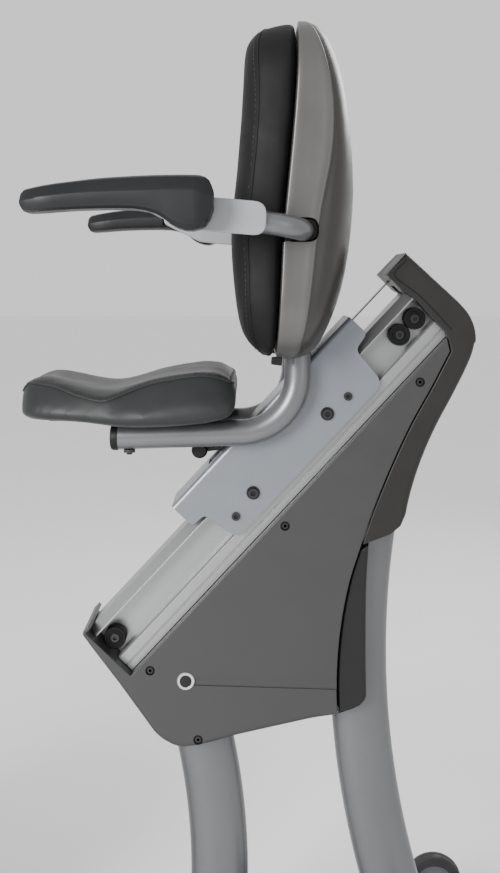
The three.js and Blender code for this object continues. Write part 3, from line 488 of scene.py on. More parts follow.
def set_studio():
    world = bpy.data.worlds.new("studio")
    world.use_nodes = True
    background = world.node_tree.nodes["Background"]
    background.inputs["Color"].default_value = (1.0, 1.0, 1.0, 1)
    background.inputs["Strength"].default_value = 0.98
    bpy.context.scene.world = world
    area_light("key", (-1.5, -2.6, 1.7), (0.3, 0, 0.9), (1.3, 1.3), 150)
    area_light("fill", (2.4, -2.2, 1.4), (0.4, 0, 0.8), (1.2, 1.8), 8)
    area_light("rim", (1.8, 2.2, 2.4), (0.3, 0, 1.0), (1.4, 1.4), 36)
    size = 30000
    floor = make("floor", [(-size, -size, 0), (size, -size, 0), (size, size, 0), (-size, size, 0)],
                 [(0, 1, 2, 3)])
    floor.data.materials.append(surface("floor_paint", (0.9, 0.9, 0.9), 0.6, mottle=0.01, mottle_scale=1.5,
                                        grain=[("noise", 3, 0.02)]))


# ---------------------------------------------------------------- small fittings
def bolt(name, x, z, face, side, radius=7.0, height=5.0, matrix=None, washer=0.0):
    """A socket-headed bolt whose head stands on the side face at |y| = face."""
    r, socket = radius, radius * 0.48
    profile = [(0, -height + 3.2), (socket, -height + 3.2), (socket, -height), (r - 0.8, -height),
               (r, -height + 0.8), (r, 0)]
    if washer:
        profile += [(washer, 0), (washer, 1.6), (0, 1.6)]
        profile = [(a, b - 1.6) for a, b in profile]
    else:
        profile += [(0, 0)]
    turned = [(a, side * (face - b)) for a, b in profile]
    return lathe(name, turned, (x, 0, z), sides=24, matrix=matrix)


def screws(name, places, face):
    """Dark screws on both sides of the bike, with their heads sunk below the face."""
    radius, height, sunk = 4.65, 2.5, 4.0
    for i, (x, z) in enumerate(places):
        for side, sign in SIDES.items():
            obj = bolt(f"{name}_{i}_{side}", x, z, face - sunk, sign, radius, height)
            piece(obj, "frame", "dark_plastic", dark_bolt)


# ---------------------------------------------------------------- rail
def build_rail():
    refined("seat_rail", "frame", "rail_metal", anodised, bevel=0.7)
    for node in ("rail_saddle_front", "rail_saddle_rear", "reel_bracket"):
        refined(node, "frame", "steel", zinc, bevel=0.5)
    refined("spring_tape", "frame", "steel", dark_bolt, bevel=0.2)
    refined("spring_reel", "reel", "steel", zinc, bevel=0.4)
    bumpers = {"lower_bumper": 15.8, "upper_bumper_inner": 632, "upper_bumper_outer": 664.8}
    half = [(5, 14.5), (15.2, 15), (16.2, 16), (16.2, 33), (15.2, 34.6), (13.6, 34.6), (12.8, 33.4),
            (11.2, 33.4), (10.4, 34.6), (9.2, 34.6), (8.4, 33.6), (0, 33.6)]
    for node, s in bumpers.items():
        profile = [(r, -y) for r, y in reversed(half)] + half
        body = lathe(f"{node}_rubber", profile, (s, 0, 0), matrix=RAIL_FRAME)
        piece(body, "frame", "black_rubber", rubber, node)
        for side, sign in SIDES.items():
            head = bolt(f"{node}_bolt_{side}", s, 0, 33.6, sign, 6.6, 3.4, matrix=RAIL_FRAME)
            piece(head, "frame", "black_rubber", dark_bolt)


# ---------------------------------------------------------------- carriage
CARRIAGE = [(218, 74, 2), (218, 32, 9), (242, 30, 7), (250, -29.4, 17), (563, -29.4, 17), (571, 34, 9),
            (600, 38, 9), (600, 74, 2)]


def build_carriage():
    """Sheet bent over the rail, then cut to its outline in side view."""
    section = rounded([
        (-50, -60), (-50, 74, 8), (50, 74, 8), (50, -60),
        (45, -60), (45, 69, 3.5), (-45, 69, 3.5), (-45, -60),
    ])
    shell = loft("carriage_sheet", [[(s, y, t) for y, t in section] for s in (100, 700)], angle=40)
    shape = prism("shape", rounded(CARRIAGE), -60, 60)
    carve(shell, shape, operation="INTERSECT")
    slot = prism("slot", rounded([(296, 60), (356, 60), (356, 90), (296, 90)]), -24, 24)
    carve(shell, slot)
    soften(shell, 0.9, 50)
    shell.data.transform(RAIL_FRAME)
    piece(shell, "carriage", "carriage_paint", carriage_paint, "carriage_frame")
    for end, s in (("front", 315), ("rear", 474)):
        axle = lathe(f"roller_axle_{end}", [(0, -47), (6, -47), (6, 47), (0, 47)], (s, 0, 0),
                     matrix=RAIL_FRAME, sides=24)
        piece(axle, "carriage", "steel", zinc)
        for side, sign in SIDES.items():
            name = f"{end}_{side}"
            head = bolt(f"roller_bolt_{name}", s, 0.3, 50, sign, 7.6, 5.5, matrix=RAIL_FRAME, washer=10)
            piece(head, "carriage", "steel", dark_bolt)
            profile = [(6.4, -10), (12, -10), (13, -7.5), (19.5, -7.5), (21, -6), (21.6, -3), (21.6, 7),
                       (20.5, 9), (13, 9), (12, 10), (6.4, 10), (6.4, -10)]
            turned = [(r, -sign * a) for r, a in profile]
            tread = lathe(f"roller_{name}", turned, (s, sign * 28, 0), matrix=RAIL_FRAME)
            piece(tread, f"roller_{name}", "black_rubber", rubber, f"carriage_roller_{name}")
    for i, (s, t) in enumerate(((513.4, -4.1), (272.5, -4.7))):
        for side, sign in SIDES.items():
            head = bolt(f"carriage_bolt_{i}_{side}", s, t, 50, sign, 6.2, 4.5, matrix=RAIL_FRAME)
            piece(head, "carriage", "steel", dark_bolt)
    refined("brake_shoe", "shoe", "black_rubber", rubber, bevel=1.5)


def build_release():
    """The bar that the rider lifts, under the seat's tubes."""
    px, pz = on_rail(352, 57)
    bar_x, bar_z, radius = 226, 865.5, 12
    stations = (-39, -38, -34, 0, 34, 38, 39)
    grip = tube("release_grip", [(bar_x, y, bar_z) for y in stations], radius, start=(1, 0, 0))

    def round_ends(b):
        """Draws the last two rings in, to 11 and 9 mm."""
        for v in b.verts:
            far = abs(v.co.y / MM)
            if far > 36:
                share = (9 if far > 38.5 else 11) / radius
                v.co.x = bar_x * MM + (v.co.x - bar_x * MM) * share
                v.co.z = bar_z * MM + (v.co.z - bar_z * MM) * share

    edit(grip.data, round_ends)
    piece(grip, "release", "black_rubber", rubber, "release_bar")
    outline = rounded([
        (224, 860, 4), (268, 865), (px - 2, pz - 9, 6), (px + 9, pz - 2, 6), (px, pz + 9, 6), (262, 876),
        (224, 872, 4),
    ])
    arm = prism("release_arm", outline, -20.8, -13.2, rim=1.2)
    both(arm, "release_arm", "release", "black_rubber", dark_bolt)


# ---------------------------------------------------------------- covers under the rail
SEAM = [(464, 732), (477, 772), (507, 846), (536, 908), (566, 962), (593, 1014)]
STRIP_SEAM = [(464, 732), (446, 675), (433, 604), (428, 535), (428.6, 484.6)]
SCREWS = [(549, 969), (352, 759), (155, 548), (225, 447), (426, 491)]


def smooth_line(points, per=6):
    return [(p.x, p.y) for p in spline([(x, z, 0) for x, z in points], per)]


def side_rim(point):
    """The side covers' rim is soft along the front and the bottom, and crisp elsewhere."""
    s, t = off_rail(point)
    if s > -3 and t > -52:
        return 1.6
    front = min(1, max(0, (20 - t) / 70))
    rear = min(1, max(0, (424 - point[0]) / 30))
    return 1.6 + 7.4 * min(front, rear)


def build_side_covers():
    edge = -51  # the covers' upper edge, across the rail
    outline = rounded([
        on_rail(9, 43.5), on_rail(-2, 43.5), on_rail(-5.6, 40.4), (166, 449, 16), (196, 433, 13),
        (231, 438, 8), (282, 452),
    ]) + [(x - 0.6, z) for x, z in reversed(smooth_line(STRIP_SEAM))] + smooth_line(SEAM)[1:] + [
        on_rail(674, edge), on_rail(-1, edge), on_rail(-1, 38.5), on_rail(9, 38.5),
    ]
    cover = prism("side_cover", fine(outline, 14), -60, -0.3, rim=side_rim, rims=(True, False), segments=6)
    room = [on_rail(-1, -62), (176, 455), (200, 440), (231, 442), (282, 456), (420, 489), (423, 535),
            (428, 604), (441, 676), (458, 735), (490, 775), (520, 860), (580, 980), on_rail(650, -62)]
    hollow = prism("hollow", room, -57, 9)
    along_rail = [(-1, -67), (760, -67), (760, 38.5), (-1, 38.5)]
    rail_room = prism("rail_room", along_rail, -41, 9, matrix=RAIL_FRAME)
    legs = leg_cutters()
    groove = rounded([(212, 527, 4), (220, 526.5, 2), (435, 520, 2), (436, 533, 3), (225, 539, 5)])
    strip = prism("recess", groove, -64, -58.4)
    holes = [lathe("hole", [(0, -64), (7.4, -64), (6.6, -56), (0, -56)], (x, 0, z), sides=28)
             for x, z in SCREWS[:4]]
    carve(cover, hollow, rail_room, *legs, strip, *holes)
    both(cover, "side_cover", "frame", "side_plastic", side_plastic, "side_cover_{}")
    for i, (x, z) in enumerate(SCREWS[:4]):
        profile = [(0, -57.2), (6.4, -57.2), (6.7, -59.6), (7.3, -59.6), (7.3, -56.2), (0, -56.2)]
        cup = lathe(f"screw_cup_{i}", profile, (x, 0, z), sides=28)
        both(cup, f"screw_cup_{i}", "frame", "dark_plastic", rubber)
    screws("cover_screw", SCREWS[:4], 61.2)
    badge = (207, 0, 533)
    profile = [(0, -61.2), (9.2, -61.2), (9.2, -62.2), (11.8, -62.4), (12.8, -61.4), (13, -59.8),
               (0, -59.8)]
    both(lathe("badge", profile, badge), "round_badge", "frame", "trim_plastic", badge_metal)
    disc = lathe("badge_disc", [(0, -62), (4.5, -61.7), (8.9, -61.3), (8.9, -60.4), (0, -60.4)], badge)
    both(disc, "badge_disc", "frame", "dark_plastic", dark_plastic_and_painted_shade)


def build_rear_strip():
    """The strip behind the side covers, from the legs up to the top cover, darker by painted shade: its
    colour stands in for the shade on the covers' rear part, which slopes away.
    """
    back = [(472, 507), (471, 560), (471, 600), (472, 672), (475.4, 730)]
    front = [(x + 0.8, z) for x, z in smooth_line(STRIP_SEAM)]
    outline = [(430, 480.6), (452, 488), (463, 493.5), (470, 501)] + smooth_line(back) + front[1:-1]
    strip = prism("rear_strip", outline, -52, -0.3, rim=5, rims=(True, False), segments=5)
    hollow = prism("hollow", [(410, 492), (455, 497), (467, 509), (466, 600), (467, 727), (410, 727)], -48, 9)
    carve(strip, hollow, *leg_cutters())
    # The strip's darker colour is painted shade, not a darker plastic.
    both(strip, "rear_strip", "frame", "dark_plastic", dark_plastic_and_painted_shade)
    screws("strip_screw", SCREWS[4:], 57.5)


def top_rim(point):
    """The top cover's rim is soft along its back and crisp at the hook and the seam."""
    s, t = off_rail(point)
    crisp, softer = 1.8, 8.2
    seam_x = at([(z, x) for x, z in SEAM], point[1])
    if s <= 700 and (t >= -52 or point[0] <= seam_x + 22):
        return crisp
    up = max(0, (point[1] - 745) / 40)
    along = (s - 700) / 24 if s > 700 else 1
    return crisp + softer * min(1, along, up)


def build_top_cover():
    w = 62
    hook = [on_rail(s, t) for s, t in (
        (676, -50), (680, -42), (680, -16), (684, 24), (682, 36), (680, 43), (681, 70), (681, 78), (725, 78),
    )]
    back = [(606, 1087), (619, 1072), (628, 1053), (630.5, 1034), (627, 1014), (618, 991), (597, 949),
            (573, 904), (552, 856), (537, 810), (529, 776)]
    seam_side = [(x + 1.2, z) for x, z in smooth_line(SEAM)]
    outer = seam_side + hook + smooth_line(back, 4) + [(521, 759), (506, 747)]
    cover = prism("top_cover_shell", fine(outer, 14), -w, w, rim=top_rim, segments=6)
    inner = [(440, 740), (470, 790), (500, 850), (560, 960), on_rail(640, -60), on_rail(684, -57),
             on_rail(684, -16), on_rail(687, 24), on_rail(684, 74), on_rail(719, 74), on_rail(719, -22),
             (612, 1067), (620, 1050), (623, 1034), (620, 1016), (611, 994), (590, 952), (566, 907),
             (546, 859), (531, 812), (523, 777), (522, 700), (440, 700)]
    hollow = prism("hollow", inner, -w + 3, w - 3)
    rail_room = prism("rail_room", [(500, -67), (693, -67), (693, 38), (500, 38)], -41, 41, matrix=RAIL_FRAME)
    slot = [(640, 61.4), (700, 61.4), (700, 65.3), (640, 65.3)]
    tape = prism("tape_room", slot, -10, 10, matrix=RAIL_FRAME)
    reel = prism("reel_room", [(676, 14), (715, 14), (715, 54), (676, 54)], -19, 19, matrix=RAIL_FRAME)
    carve(cover, hollow, rail_room, tape, reel, *leg_cutters())
    piece(cover, "frame", "dark_plastic", top_plastic, "top_cover")
    # A thin bead on each face marks the lid that closes the hook.
    bead = [on_rail(717, 71), on_rail(692, 71), on_rail(688, 67), on_rail(692, 20), on_rail(688, -46)]
    line = tube("lid_bead", spline([(x, -w, z) for x, z in bead], 5), 0.9, sides=10)
    both(line, "lid_bead", "frame", "dark_plastic", rubber)


# ---------------------------------------------------------------- legs and base
FRONT_LEG = {"x": -675, "z": 225, "radius": 930}
REAR_LEG = {"x": 1734, "z": 560, "radius": 1270}


def leg_path(leg, low, high, count=26):
    """Points on the leg's arc between two heights."""
    behind = leg["x"] > 1000
    path = []
    for k in range(count):
        z = low + (high - low) * k / (count - 1)
        reach = math.sqrt(leg["radius"] ** 2 - (z - leg["z"]) ** 2)
        path.append((leg["x"] - reach if behind else leg["x"] + reach, 0, z))
    return path


def leg_cutters():
    return [
        tube("leg_room", leg_path(FRONT_LEG, 300, 640), 28, 45),
        tube("leg_room", leg_path(REAR_LEG, 60, 1030), 28, 45),
    ]


def above_rail_foot():
    """Everything from just under the rail upwards."""
    side = [(-100, -64), (900, -64), (900, 300), (-100, 300)]
    return prism("rail_room", side, -70, 70, matrix=RAIL_FRAME)


def build_legs():
    front = tube("front_leg_tube", leg_path(FRONT_LEG, 100.4, 640), 26, 43, sides=48)
    carve(front, above_rail_foot())
    piece(front, "frame", "frame_paint", leg_paint, "front_leg")
    rear = tube("rear_leg_tube", leg_path(REAR_LEG, 53, 1030, 40), 26, 43, sides=48)
    beam = prism("beam_room", [(400, 0), (537.2, 0), (537.2, 100.4), (400, 100.4)], -60, 60)
    tube_room = tube("tube_room", [(571, -80, 52), (571, 80, 52)], 34.4, start=(1, 0, 0))
    carve(rear, above_rail_foot(), beam, tube_room)
    piece(rear, "frame", "frame_paint", leg_paint, "rear_leg")


def build_base():
    beam = prism("base_beam_tube", [(-606.7, 42), (536.7, 42), (536.7, 100), (-606.7, 100)], -40, 40)

    def round_corners(b):
        """Rounds the beam's four long edges."""
        lengthwise = [e for e in b.edges if abs(e.verts[0].co.x - e.verts[1].co.x) > 0.5]
        bmesh.ops.bevel(b, geom=lengthwise, offset=7 * MM, segments=5, profile=0.5, affect="EDGES",
                        clamp_overlap=False)

    edit(beam.data, round_corners)
    shade(beam)
    piece(beam, "frame", "frame_paint", leg_paint, "base_beam")
    for name, x, half in (("front_stabiliser", -641, 280), ("rear_stabiliser", 571, 250)):
        bar = tube(f"{name}_tube", [(x, y, 52) for y in (-half + 6, half - 6)], 34, start=(1, 0, 0), sides=48)
        piece(bar, "frame", "frame_paint", leg_paint, name)
        profile = [(0, 0), (26, 0), (31, 1.2), (33.6, 4), (34.4, 8), (34.4, 16), (0, 16)]
        cap = lathe("cap", [(r, along - half) for r, along in profile], (x, 0, 52))
        both(cap, f"{name}_cap", "frame", "black_rubber", rubber)
    for end, x, y in (("front", -641, 250), ("rear", 571, 215)):
        profile = [(0, 0), (20, 0), (22, 1.5), (22, 6), (20, 8.5), (13, 11), (11, 14), (6, 14), (6, 40),
                   (0, 40)]
        foot = lathe("foot", profile, (x, -y, 0), axis="Z", sides=40)
        both(foot, f"foot_{end}", f"foot_{end}_{{}}", "black_rubber", rubber, f"levelling_foot_{end}_{{}}")
    build_wheels()


def build_wheels():
    h, r = 12, 50
    side = [(r, 2), (r, h - 5), (r - 1.5, h - 1.5), (r - 5, h), (34, h)]
    tread = [(a, -b) for a, b in reversed(side)] + [(r - 1, -1), (r - 1, 1)] + side + [(34, -h)]
    outer = lathe("transport_tyre", tread, (625, -270, 53), sides=64)
    both(outer, "transport_tyre", "wheel_{}", "wheel_rubber", tyre, "transport_wheel_{}")
    side = [(34, h - 0.5), (31, h - 0.5), (29, h - 3.5), (17, h - 2.5), (15, h), (6.4, h)]
    hub = [(a, -b) for a, b in reversed(side)] + side + [(6.4, -h)]
    centre = lathe("transport_hub", hub, (625, -270, 53), sides=64)
    both(centre, "transport_hub", "wheel_{}", "wheel_rubber", hub_plastic)
    for side in SIDES:
        refined(f"wheel_bracket_{side}", "frame", "steel", zinc, bevel=0.7)


# ---------------------------------------------------------------- seat tubes and pan
TUBE_Y = 69.4


def seat_tube_path():
    low, bend, back = 897, 83, 369.6
    start = back - bend
    path = [(109, -TUBE_Y, 891.4), (start - 1, -TUBE_Y, low)]
    for i in range(1, 17):
        a = i / 16 * math.pi / 2
        path.append((start + bend * math.sin(a), -TUBE_Y, low + bend * (1 - math.cos(a))))
    return [*path, (back, -TUBE_Y, 1160)]


def build_seat_frame():
    bar = tube("seat_tube", seat_tube_path(), 19, sides=48)
    both(bar, "seat_tube_bar", "carriage", "frame_paint", frame_paint, "seat_tube_{}")
    profile = [(0, -2), (15, -2), (18.2, -0.5), (19.6, 2.5), (19.6, 9), (0, 9)]
    cap = lathe("cap", profile, (101, -TUBE_Y, 891), axis="X")
    both(cap, "seat_tube_cap", "carriage", "black_rubber", rubber)
    profile = [(0, -25.5), (4, -25.5), (4, -22.5), (8.5, -22.5), (8.5, -18.2), (0, -18.2)]
    nut = lathe("nut", profile, (126, -TUBE_Y, 891), axis="Z", sides=24)
    both(nut, "seat_tube_bolt", "carriage", "black_rubber", dark_bolt)
    outline = rounded([(14, 917, 2), (268, 917, 2), (268, 925, 2), (14, 925, 2)], 2)
    board = prism("seat_pan_board", outline, -96, 96, rim=1)
    piece(board, "carriage", "side_plastic", rubber, "seat_pan")
    refined("seat_cross_plate", "carriage", "steel", zinc, bevel=0.8)
    refined("back_plate", "carriage", "steel", zinc, bevel=0.8)


# ---------------------------------------------------------------- seat cushion
SEAT_EDGE = [(-36, 966), (-32, 972), (-24, 975), (-8, 974), (14, 971), (30, 968), (49, 962), (72, 957),
             (96, 954), (120, 961), (145, 970), (175, 978), (204, 983), (232, 986), (262, 985),
             (276, 980), (284, 966)]
SEAT_MIDDLE = [(-36, 965), (-32, 972), (-24, 976), (6, 977), (24, 973), (49, 966), (72, 961), (96, 959),
               (120, 963), (145, 970), (175, 977), (204, 981), (232, 984), (262, 983), (276, 978),
               (284, 964)]
SEAT_CREASE = [(-36, 0.72), (11, 0.76), (60, 0.9), (96, 0.95), (130, 0.84), (160, 0.78), (230, 0.77),
               (284, 0.8)]
SEAT_WIDTH = [(-36, 60), (-33, 76), (-27, 92), (-18, 104), (-6, 113), (10, 121), (60, 132), (110, 142),
              (180, 149), (240, 149), (268, 144), (280, 134), (284, 122)]
SEAT_LOW = [(-36, 927), (-32, 921), (-24, 917), (0, 916), (60, 915), (90, 912), (117, 909), (160, 909),
            (200, 911), (250, 917), (276, 926), (284, 938)]


def seat_ring(x, inset=0.0):
    """Upright side panels up to a crease, and a top that is nearly flat between the creases."""
    w = at(SEAT_WIDTH, x) - inset
    low, edge, mid = at(SEAT_LOW, x) + inset, at(SEAT_EDGE, x) - inset, at(SEAT_MIDDLE, x) - inset
    tall, crease = edge - low, at(SEAT_CREASE, x) * w
    half = [(0, low), (0.55 * w, low), (0.86 * w, low + 0.01 * tall), (0.96 * w, low + 0.1 * tall),
            (w, low + 0.3 * tall), (0.6 * w + 0.4 * crease, low + 0.62 * tall),
            (0.2 * w + 0.8 * crease, low + 0.88 * tall), (crease, edge),
            (0.86 * crease, edge + 0.3 * (mid - edge) + 1), (0.6 * crease, mid), (0, mid - 3)]
    profile = [(y, z) for y, z in half] + [(-y, z) for y, z in reversed(half[1:-1])]
    points = spline([(0, y, z) for y, z in [*profile, profile[0]]], 4)[:-1]
    return [(x, p.y, p.z) for p in points]


def puff(obj, cap, hold, voxel=6.0, pressure=4.0):
    """Swells a cushion as cloth under pressure. No point moves over cap times hold(point), from 0 to 1."""
    remesh = obj.modifiers.new("remesh", "REMESH")
    remesh.mode = "VOXEL"
    remesh.voxel_size = voxel * MM * 1
    remesh.use_smooth_shade = True
    applied(obj, 80)
    start = [v.co.copy() for v in obj.data.vertices]
    cloth = obj.modifiers.new("puff", "CLOTH")
    cloth.settings.use_pressure = True
    cloth.settings.uniform_pressure_force = pressure
    cloth.settings.effector_weights.gravity = 0
    cloth.point_cache.frame_start = 1
    cloth.point_cache.frame_end = 20
    scene = bpy.context.scene
    for number in range(1, 21):
        scene.frame_set(number)
    applied(obj, 80)
    scene.frame_set(1)
    for vertex, rest in zip(obj.data.vertices, start):
        move = vertex.co - rest
        most = cap * MM * hold(rest / MM)
        if move.length > most:
            vertex.co = rest + move * (most / move.length)
    smooth = obj.modifiers.new("smooth", "SMOOTH")
    smooth.iterations = 16
    smooth.factor = 0.5
    finer = obj.modifiers.new("finer", "SUBSURF")
    finer.levels = 1
    finer.render_levels = 1
    return applied(obj, 80)


def seam(name, obj, guide, radius, body, slot, material, out=0.3, stitches=0.0):
    """A sewn line on obj's skin along guide. stitches is their length, or 0 for a plain piping."""
    path = []
    for point in guide:
        found, where, normal, _ = obj.closest_point_on_mesh(Vector(point) * MM)
        if found:
            path.append(where / MM + normal * out)
    if not stitches:
        made = tube(name, path, radius, sides=10, start=(0.31, 0.2, 0.93))
        return piece(made, body, slot, material)
    vertices, faces = [], []
    since = 0.0
    pitch = stitches * 1.45
    for a, b in zip(path, path[1:]):
        span = (b - a).length
        since += span
        if since < pitch:
            continue
        since = 0.0
        direction = (b - a).normalized()
        _, where, normal, _ = obj.closest_point_on_mesh(a * MM)
        across = direction.cross(normal).normalized()
        base = len(vertices)
        for end, lift in ((-0.5, 0.0), (-0.25, 0.6), (0.25, 0.6), (0.5, 0.0)):
            middle = a + direction * stitches * end
            for side in (-1, 1):
                vertices.append(middle + across * side * radius + normal * (lift + 0.15))
        for k in range(3):
            j = base + 2 * k
            faces.append((j, j + 1, j + 3, j + 2))
    made = make(name, vertices, faces)
    return piece(made, body, slot, material)


def build_seat_cushion():
    stations = [-36, -34, -30, -24, -16, -6, 6, 20, 36, 54, 72, 90, 108, 128, 150, 172, 196, 220, 240,
                256, 268, 276, 281, 284]
    cushion = loft("seat_cushion_vinyl", [seat_ring(x, 2.0) for x in stations], angle=80)
    puff(cushion, 4, lambda p: min(1.0, max(0.0, (p.z - 922) / 14)))
    floor = prism("flat", [(8, 880), (270.6, 880), (270.6, 925.6), (8, 925.6)], -98, 98)
    carve(cushion, floor, angle=70)
    piece(cushion, "carriage", "upholstery", vinyl, "seat_cushion")
    sides = []
    for sign in SIDES.values():
        crease = [(x, at(SEAT_CREASE, x) * at(SEAT_WIDTH, x)) for x in range(-24, 277, 3)]
        sides.append([(x, sign * y, at(SEAT_EDGE, x)) for x, y in crease])
    rear = [(282, y, 974) for y in range(-96, 97, 4)]
    front = [(-33, y, 958) for y in range(60, -61, -4)]
    loop = spline([*sides[0][::4], *rear[::6], *sides[1][::-4], *front[::6], sides[0][0]], 10)
    seam("seat_piping", cushion, loop, 1.5, "carriage", "upholstery", vinyl, out=0.5)
    inner = [(p.x * 0.985 + 2, p.y * 0.93, p.z + 4) for p in loop]
    seam("seat_stitches", cushion, inner, 0.5, "carriage", "upholstery", thread, stitches=4.5)


# ---------------------------------------------------------------- backrest
BACK_LOW, BACK_HIGH, BACK_HALF, BACK_CORNER = 1006, 1484, 192, 92
BACK_FRONT = [(1006, 322), (1014, 309), (1024, 300), (1045, 291), (1073, 286), (1120, 281), (1165, 278),
              (1200, 279), (1270, 286), (1330, 291), (1390, 295), (1440, 297), (1460, 302), (1474, 314),
              (1484, 338)]
BACK_PARTING = [(1006, 336), (1118, 342), (1185, 345), (1252, 351.5), (1332, 359), (1412, 364.5),
                (1484, 366)]
TRIM_EDGE = [(1006, 354), (1014, 366), (1031, 372), (1065, 379), (1118, 386), (1172, 392), (1225, 400),
             (1272, 410), (1319, 415), (1372, 413), (1426, 402), (1466, 388), (1484, 376)]
COVER_BULGE = [(1006, 376), (1014, 390), (1027, 402), (1073, 423), (1118, 437), (1179, 447), (1239, 451),
               (1300, 448), (1360, 441), (1421, 428), (1466, 410), (1484, 392)]
BACK_STATIONS = [1006, 1007.5, 1010, 1014, 1020, 1028, 1038, 1050, 1066, 1084, 1106, 1130, 1158, 1185,
                 1215, 1245, 1275, 1305, 1335, 1362, 1388, 1410, 1430, 1446, 1458, 1467, 1474, 1479,
                 1482, 1484]
EASED = {1006: 7.0, 1007.5: 3.5, 1010: 1.2, 1479: 1.0, 1482: 3.0, 1484: 7.0}  # how far an end ring draws in


def back_half(z):
    d = min(z - BACK_LOW, BACK_HIGH - z)
    if d >= BACK_CORNER:
        return BACK_HALF
    k = (BACK_CORNER - d) / BACK_CORNER
    return BACK_HALF - BACK_CORNER * (1 - math.sqrt(max(0.0, 1 - k * k)))


def back_ring(z, front, back, profile, narrow=0.0):
    """A closed ring at height z. profile is (share of half-width, share of depth), from back to front."""
    ease = EASED.get(z, 0.0)
    w = back_half(z) - narrow - ease
    front, back = front + ease * 0.6, back - ease * 0.2
    points = [(back + (front - back) * k, u * w) for u, k in profile]
    ring = points + [(x, -y) for x, y in reversed(points[1:-1])]
    return [(x, y, z) for x, y in ring]


def smooth_profile(points, per=4):
    return [(p.x, p.y) for p in spline([(u, k, 0) for u, k in points], per)]


def build_back_cushion():
    profile = smooth_profile([(0, 0), (0.6, 0), (0.9, 0.0), (0.985, 0.05), (1.0, 0.25), (0.995, 0.55),
                              (0.96, 0.8), (0.88, 0.95), (0.74, 1.0), (0.45, 0.965), (0, 0.93)])
    rings = [
        back_ring(z, at(BACK_FRONT, z) + 2, at(BACK_PARTING, z) - 1.2, profile, 3.5) for z in BACK_STATIONS
    ]
    cushion = loft("back_cushion_vinyl", rings, angle=80)
    puff(cushion, 6, lambda p: min(1.0, max(0.0, (at(BACK_PARTING, p.z) - 8 - p.x) / 16)), voxel=7.0)
    piece(cushion, "carriage", "upholstery", back_vinyl, "back_cushion")
    guide = []
    for k in range(361):
        a = 2 * math.pi * k / 360
        u, v = math.cos(a), math.sin(a)
        z = 1245 + 233 * math.copysign(abs(v) ** 0.5, v)
        y = (BACK_HALF - 3) * math.copysign(abs(u) ** 0.5, u)
        guide.append((at(BACK_FRONT, z) + 15, y, z))
    seam("back_seam", cushion, guide, 0.9, "carriage", "upholstery", back_vinyl)
    inner = [(x - 5, y * 0.975, 1245 + (z - 1245) * 0.985) for x, y, z in guide]
    seam("back_stitches", cushion, inner, 0.45, "carriage", "upholstery", thread, stitches=4.0)


def arm_slots():
    """Room for the armrest's bar in the backrest's sides."""
    outline = rounded([(330, 1169), (393, 1169, 15), (393, 1202, 15), (330, 1202)])
    return prism("slot", outline, -230, 230)


def tube_rooms():
    return [tube("room", [(369.6, sign * TUBE_Y, 980), (369.6, sign * TUBE_Y, 1200)], 20.5, start=(1, 0, 0))
            for sign in SIDES.values()]


def build_back_shell():
    band = smooth_profile([(0, 0), (0.8, 0), (0.93, 0.0), (0.985, 0.03), (1.0, 0.10), (1.0, 0.35), (1.0, 0.7),
                           (1.0, 0.93), (0.992, 0.985), (0.96, 1.0), (0.7, 1.0), (0, 1.0)], 3)
    rings = [back_ring(z, at(BACK_PARTING, z) + 0.8, at(TRIM_EDGE, z), band, 0.0) for z in BACK_STATIONS]
    trim = loft("back_trim_band", rings, angle=50)
    carve(trim, arm_slots(), *tube_rooms(), angle=40)
    piece(trim, "carriage", "trim_plastic", trim_paint, "back_trim")
    bulge = smooth_profile([(0, 0), (0.25, 0.01), (0.5, 0.06), (0.72, 0.19), (0.87, 0.4), (0.955, 0.66),
                            (0.99, 0.9), (0.995, 1.0), (0.9, 1.0), (0, 1.0)], 3)
    rings = [back_ring(z, at(TRIM_EDGE, z) - 3, at(COVER_BULGE, z), bulge, 2.5) for z in BACK_STATIONS]
    cover = loft("back_cover_shell", rings, angle=50)
    carve(cover, arm_slots(), *tube_rooms(), angle=40)
    piece(cover, "carriage", "dark_plastic", back_plastic, "back_cover")
    outline = rounded([(352, 1171.5), (391, 1171.5, 13), (391, 1199.5, 13), (352, 1199.5)])
    liner = prism("slot_liner", outline, -186, -150)
    both(liner, "slot_liner", "carriage", "dark_plastic", rubber)
    outline = rounded([(330, 1000, 2), (345, 998, 2), (346, 1010, 2), (331, 1010, 2)])
    clip = prism("clip", outline, -126, -112, rim=1)
    both(clip, "back_clip", "carriage", "dark_plastic", rubber)


# ---------------------------------------------------------------- armrests
ARM_TOP = [(16, 1226), (19, 1230), (24, 1232), (56, 1238), (88, 1242), (113, 1245), (176, 1248.5),
           (232, 1249), (244, 1247), (251, 1241), (255, 1230)]
ARM_LOW = [(16, 1210), (19, 1204), (24, 1201.5), (76, 1205), (138, 1206.5), (165, 1205), (188, 1198),
           (207, 1184), (226, 1178.5), (240, 1182), (250, 1192), (255, 1206)]
ARM_FACET = [(16, 1216), (24, 1218), (88, 1225), (165, 1228), (226, 1229), (255, 1222)]


def arm_ring(x):
    top, low, facet = at(ARM_TOP, x), at(ARM_LOW, x), at(ARM_FACET, x)
    tip = min(1.0, 0.74 + 0.26 * math.sin(min(1.0, (x - 16) / 34) * math.pi / 2))
    tail = min(1.0, 0.86 + 0.14 * min(1.0, (255 - x) / 16))
    w = 31 * tip * tail
    tall = facet - low
    half = [(0, low), (w - 9, low + 0.02 * tall), (w - 3.5, low + 0.16 * tall), (w - 1, low + 0.42 * tall),
            (w, facet - 0.08 * tall), (w - 0.8, facet + 0.06 * tall), (w - 8, top - 0.16 * (top - facet)),
            (w - 12, top - 0.06 * (top - facet)), (w * 0.4, top), (0, top + 0.2)]
    return [(x, -280 + u, z) for u, z in half] + [(x, -280 - u, z) for u, z in reversed(half[1:-1])]


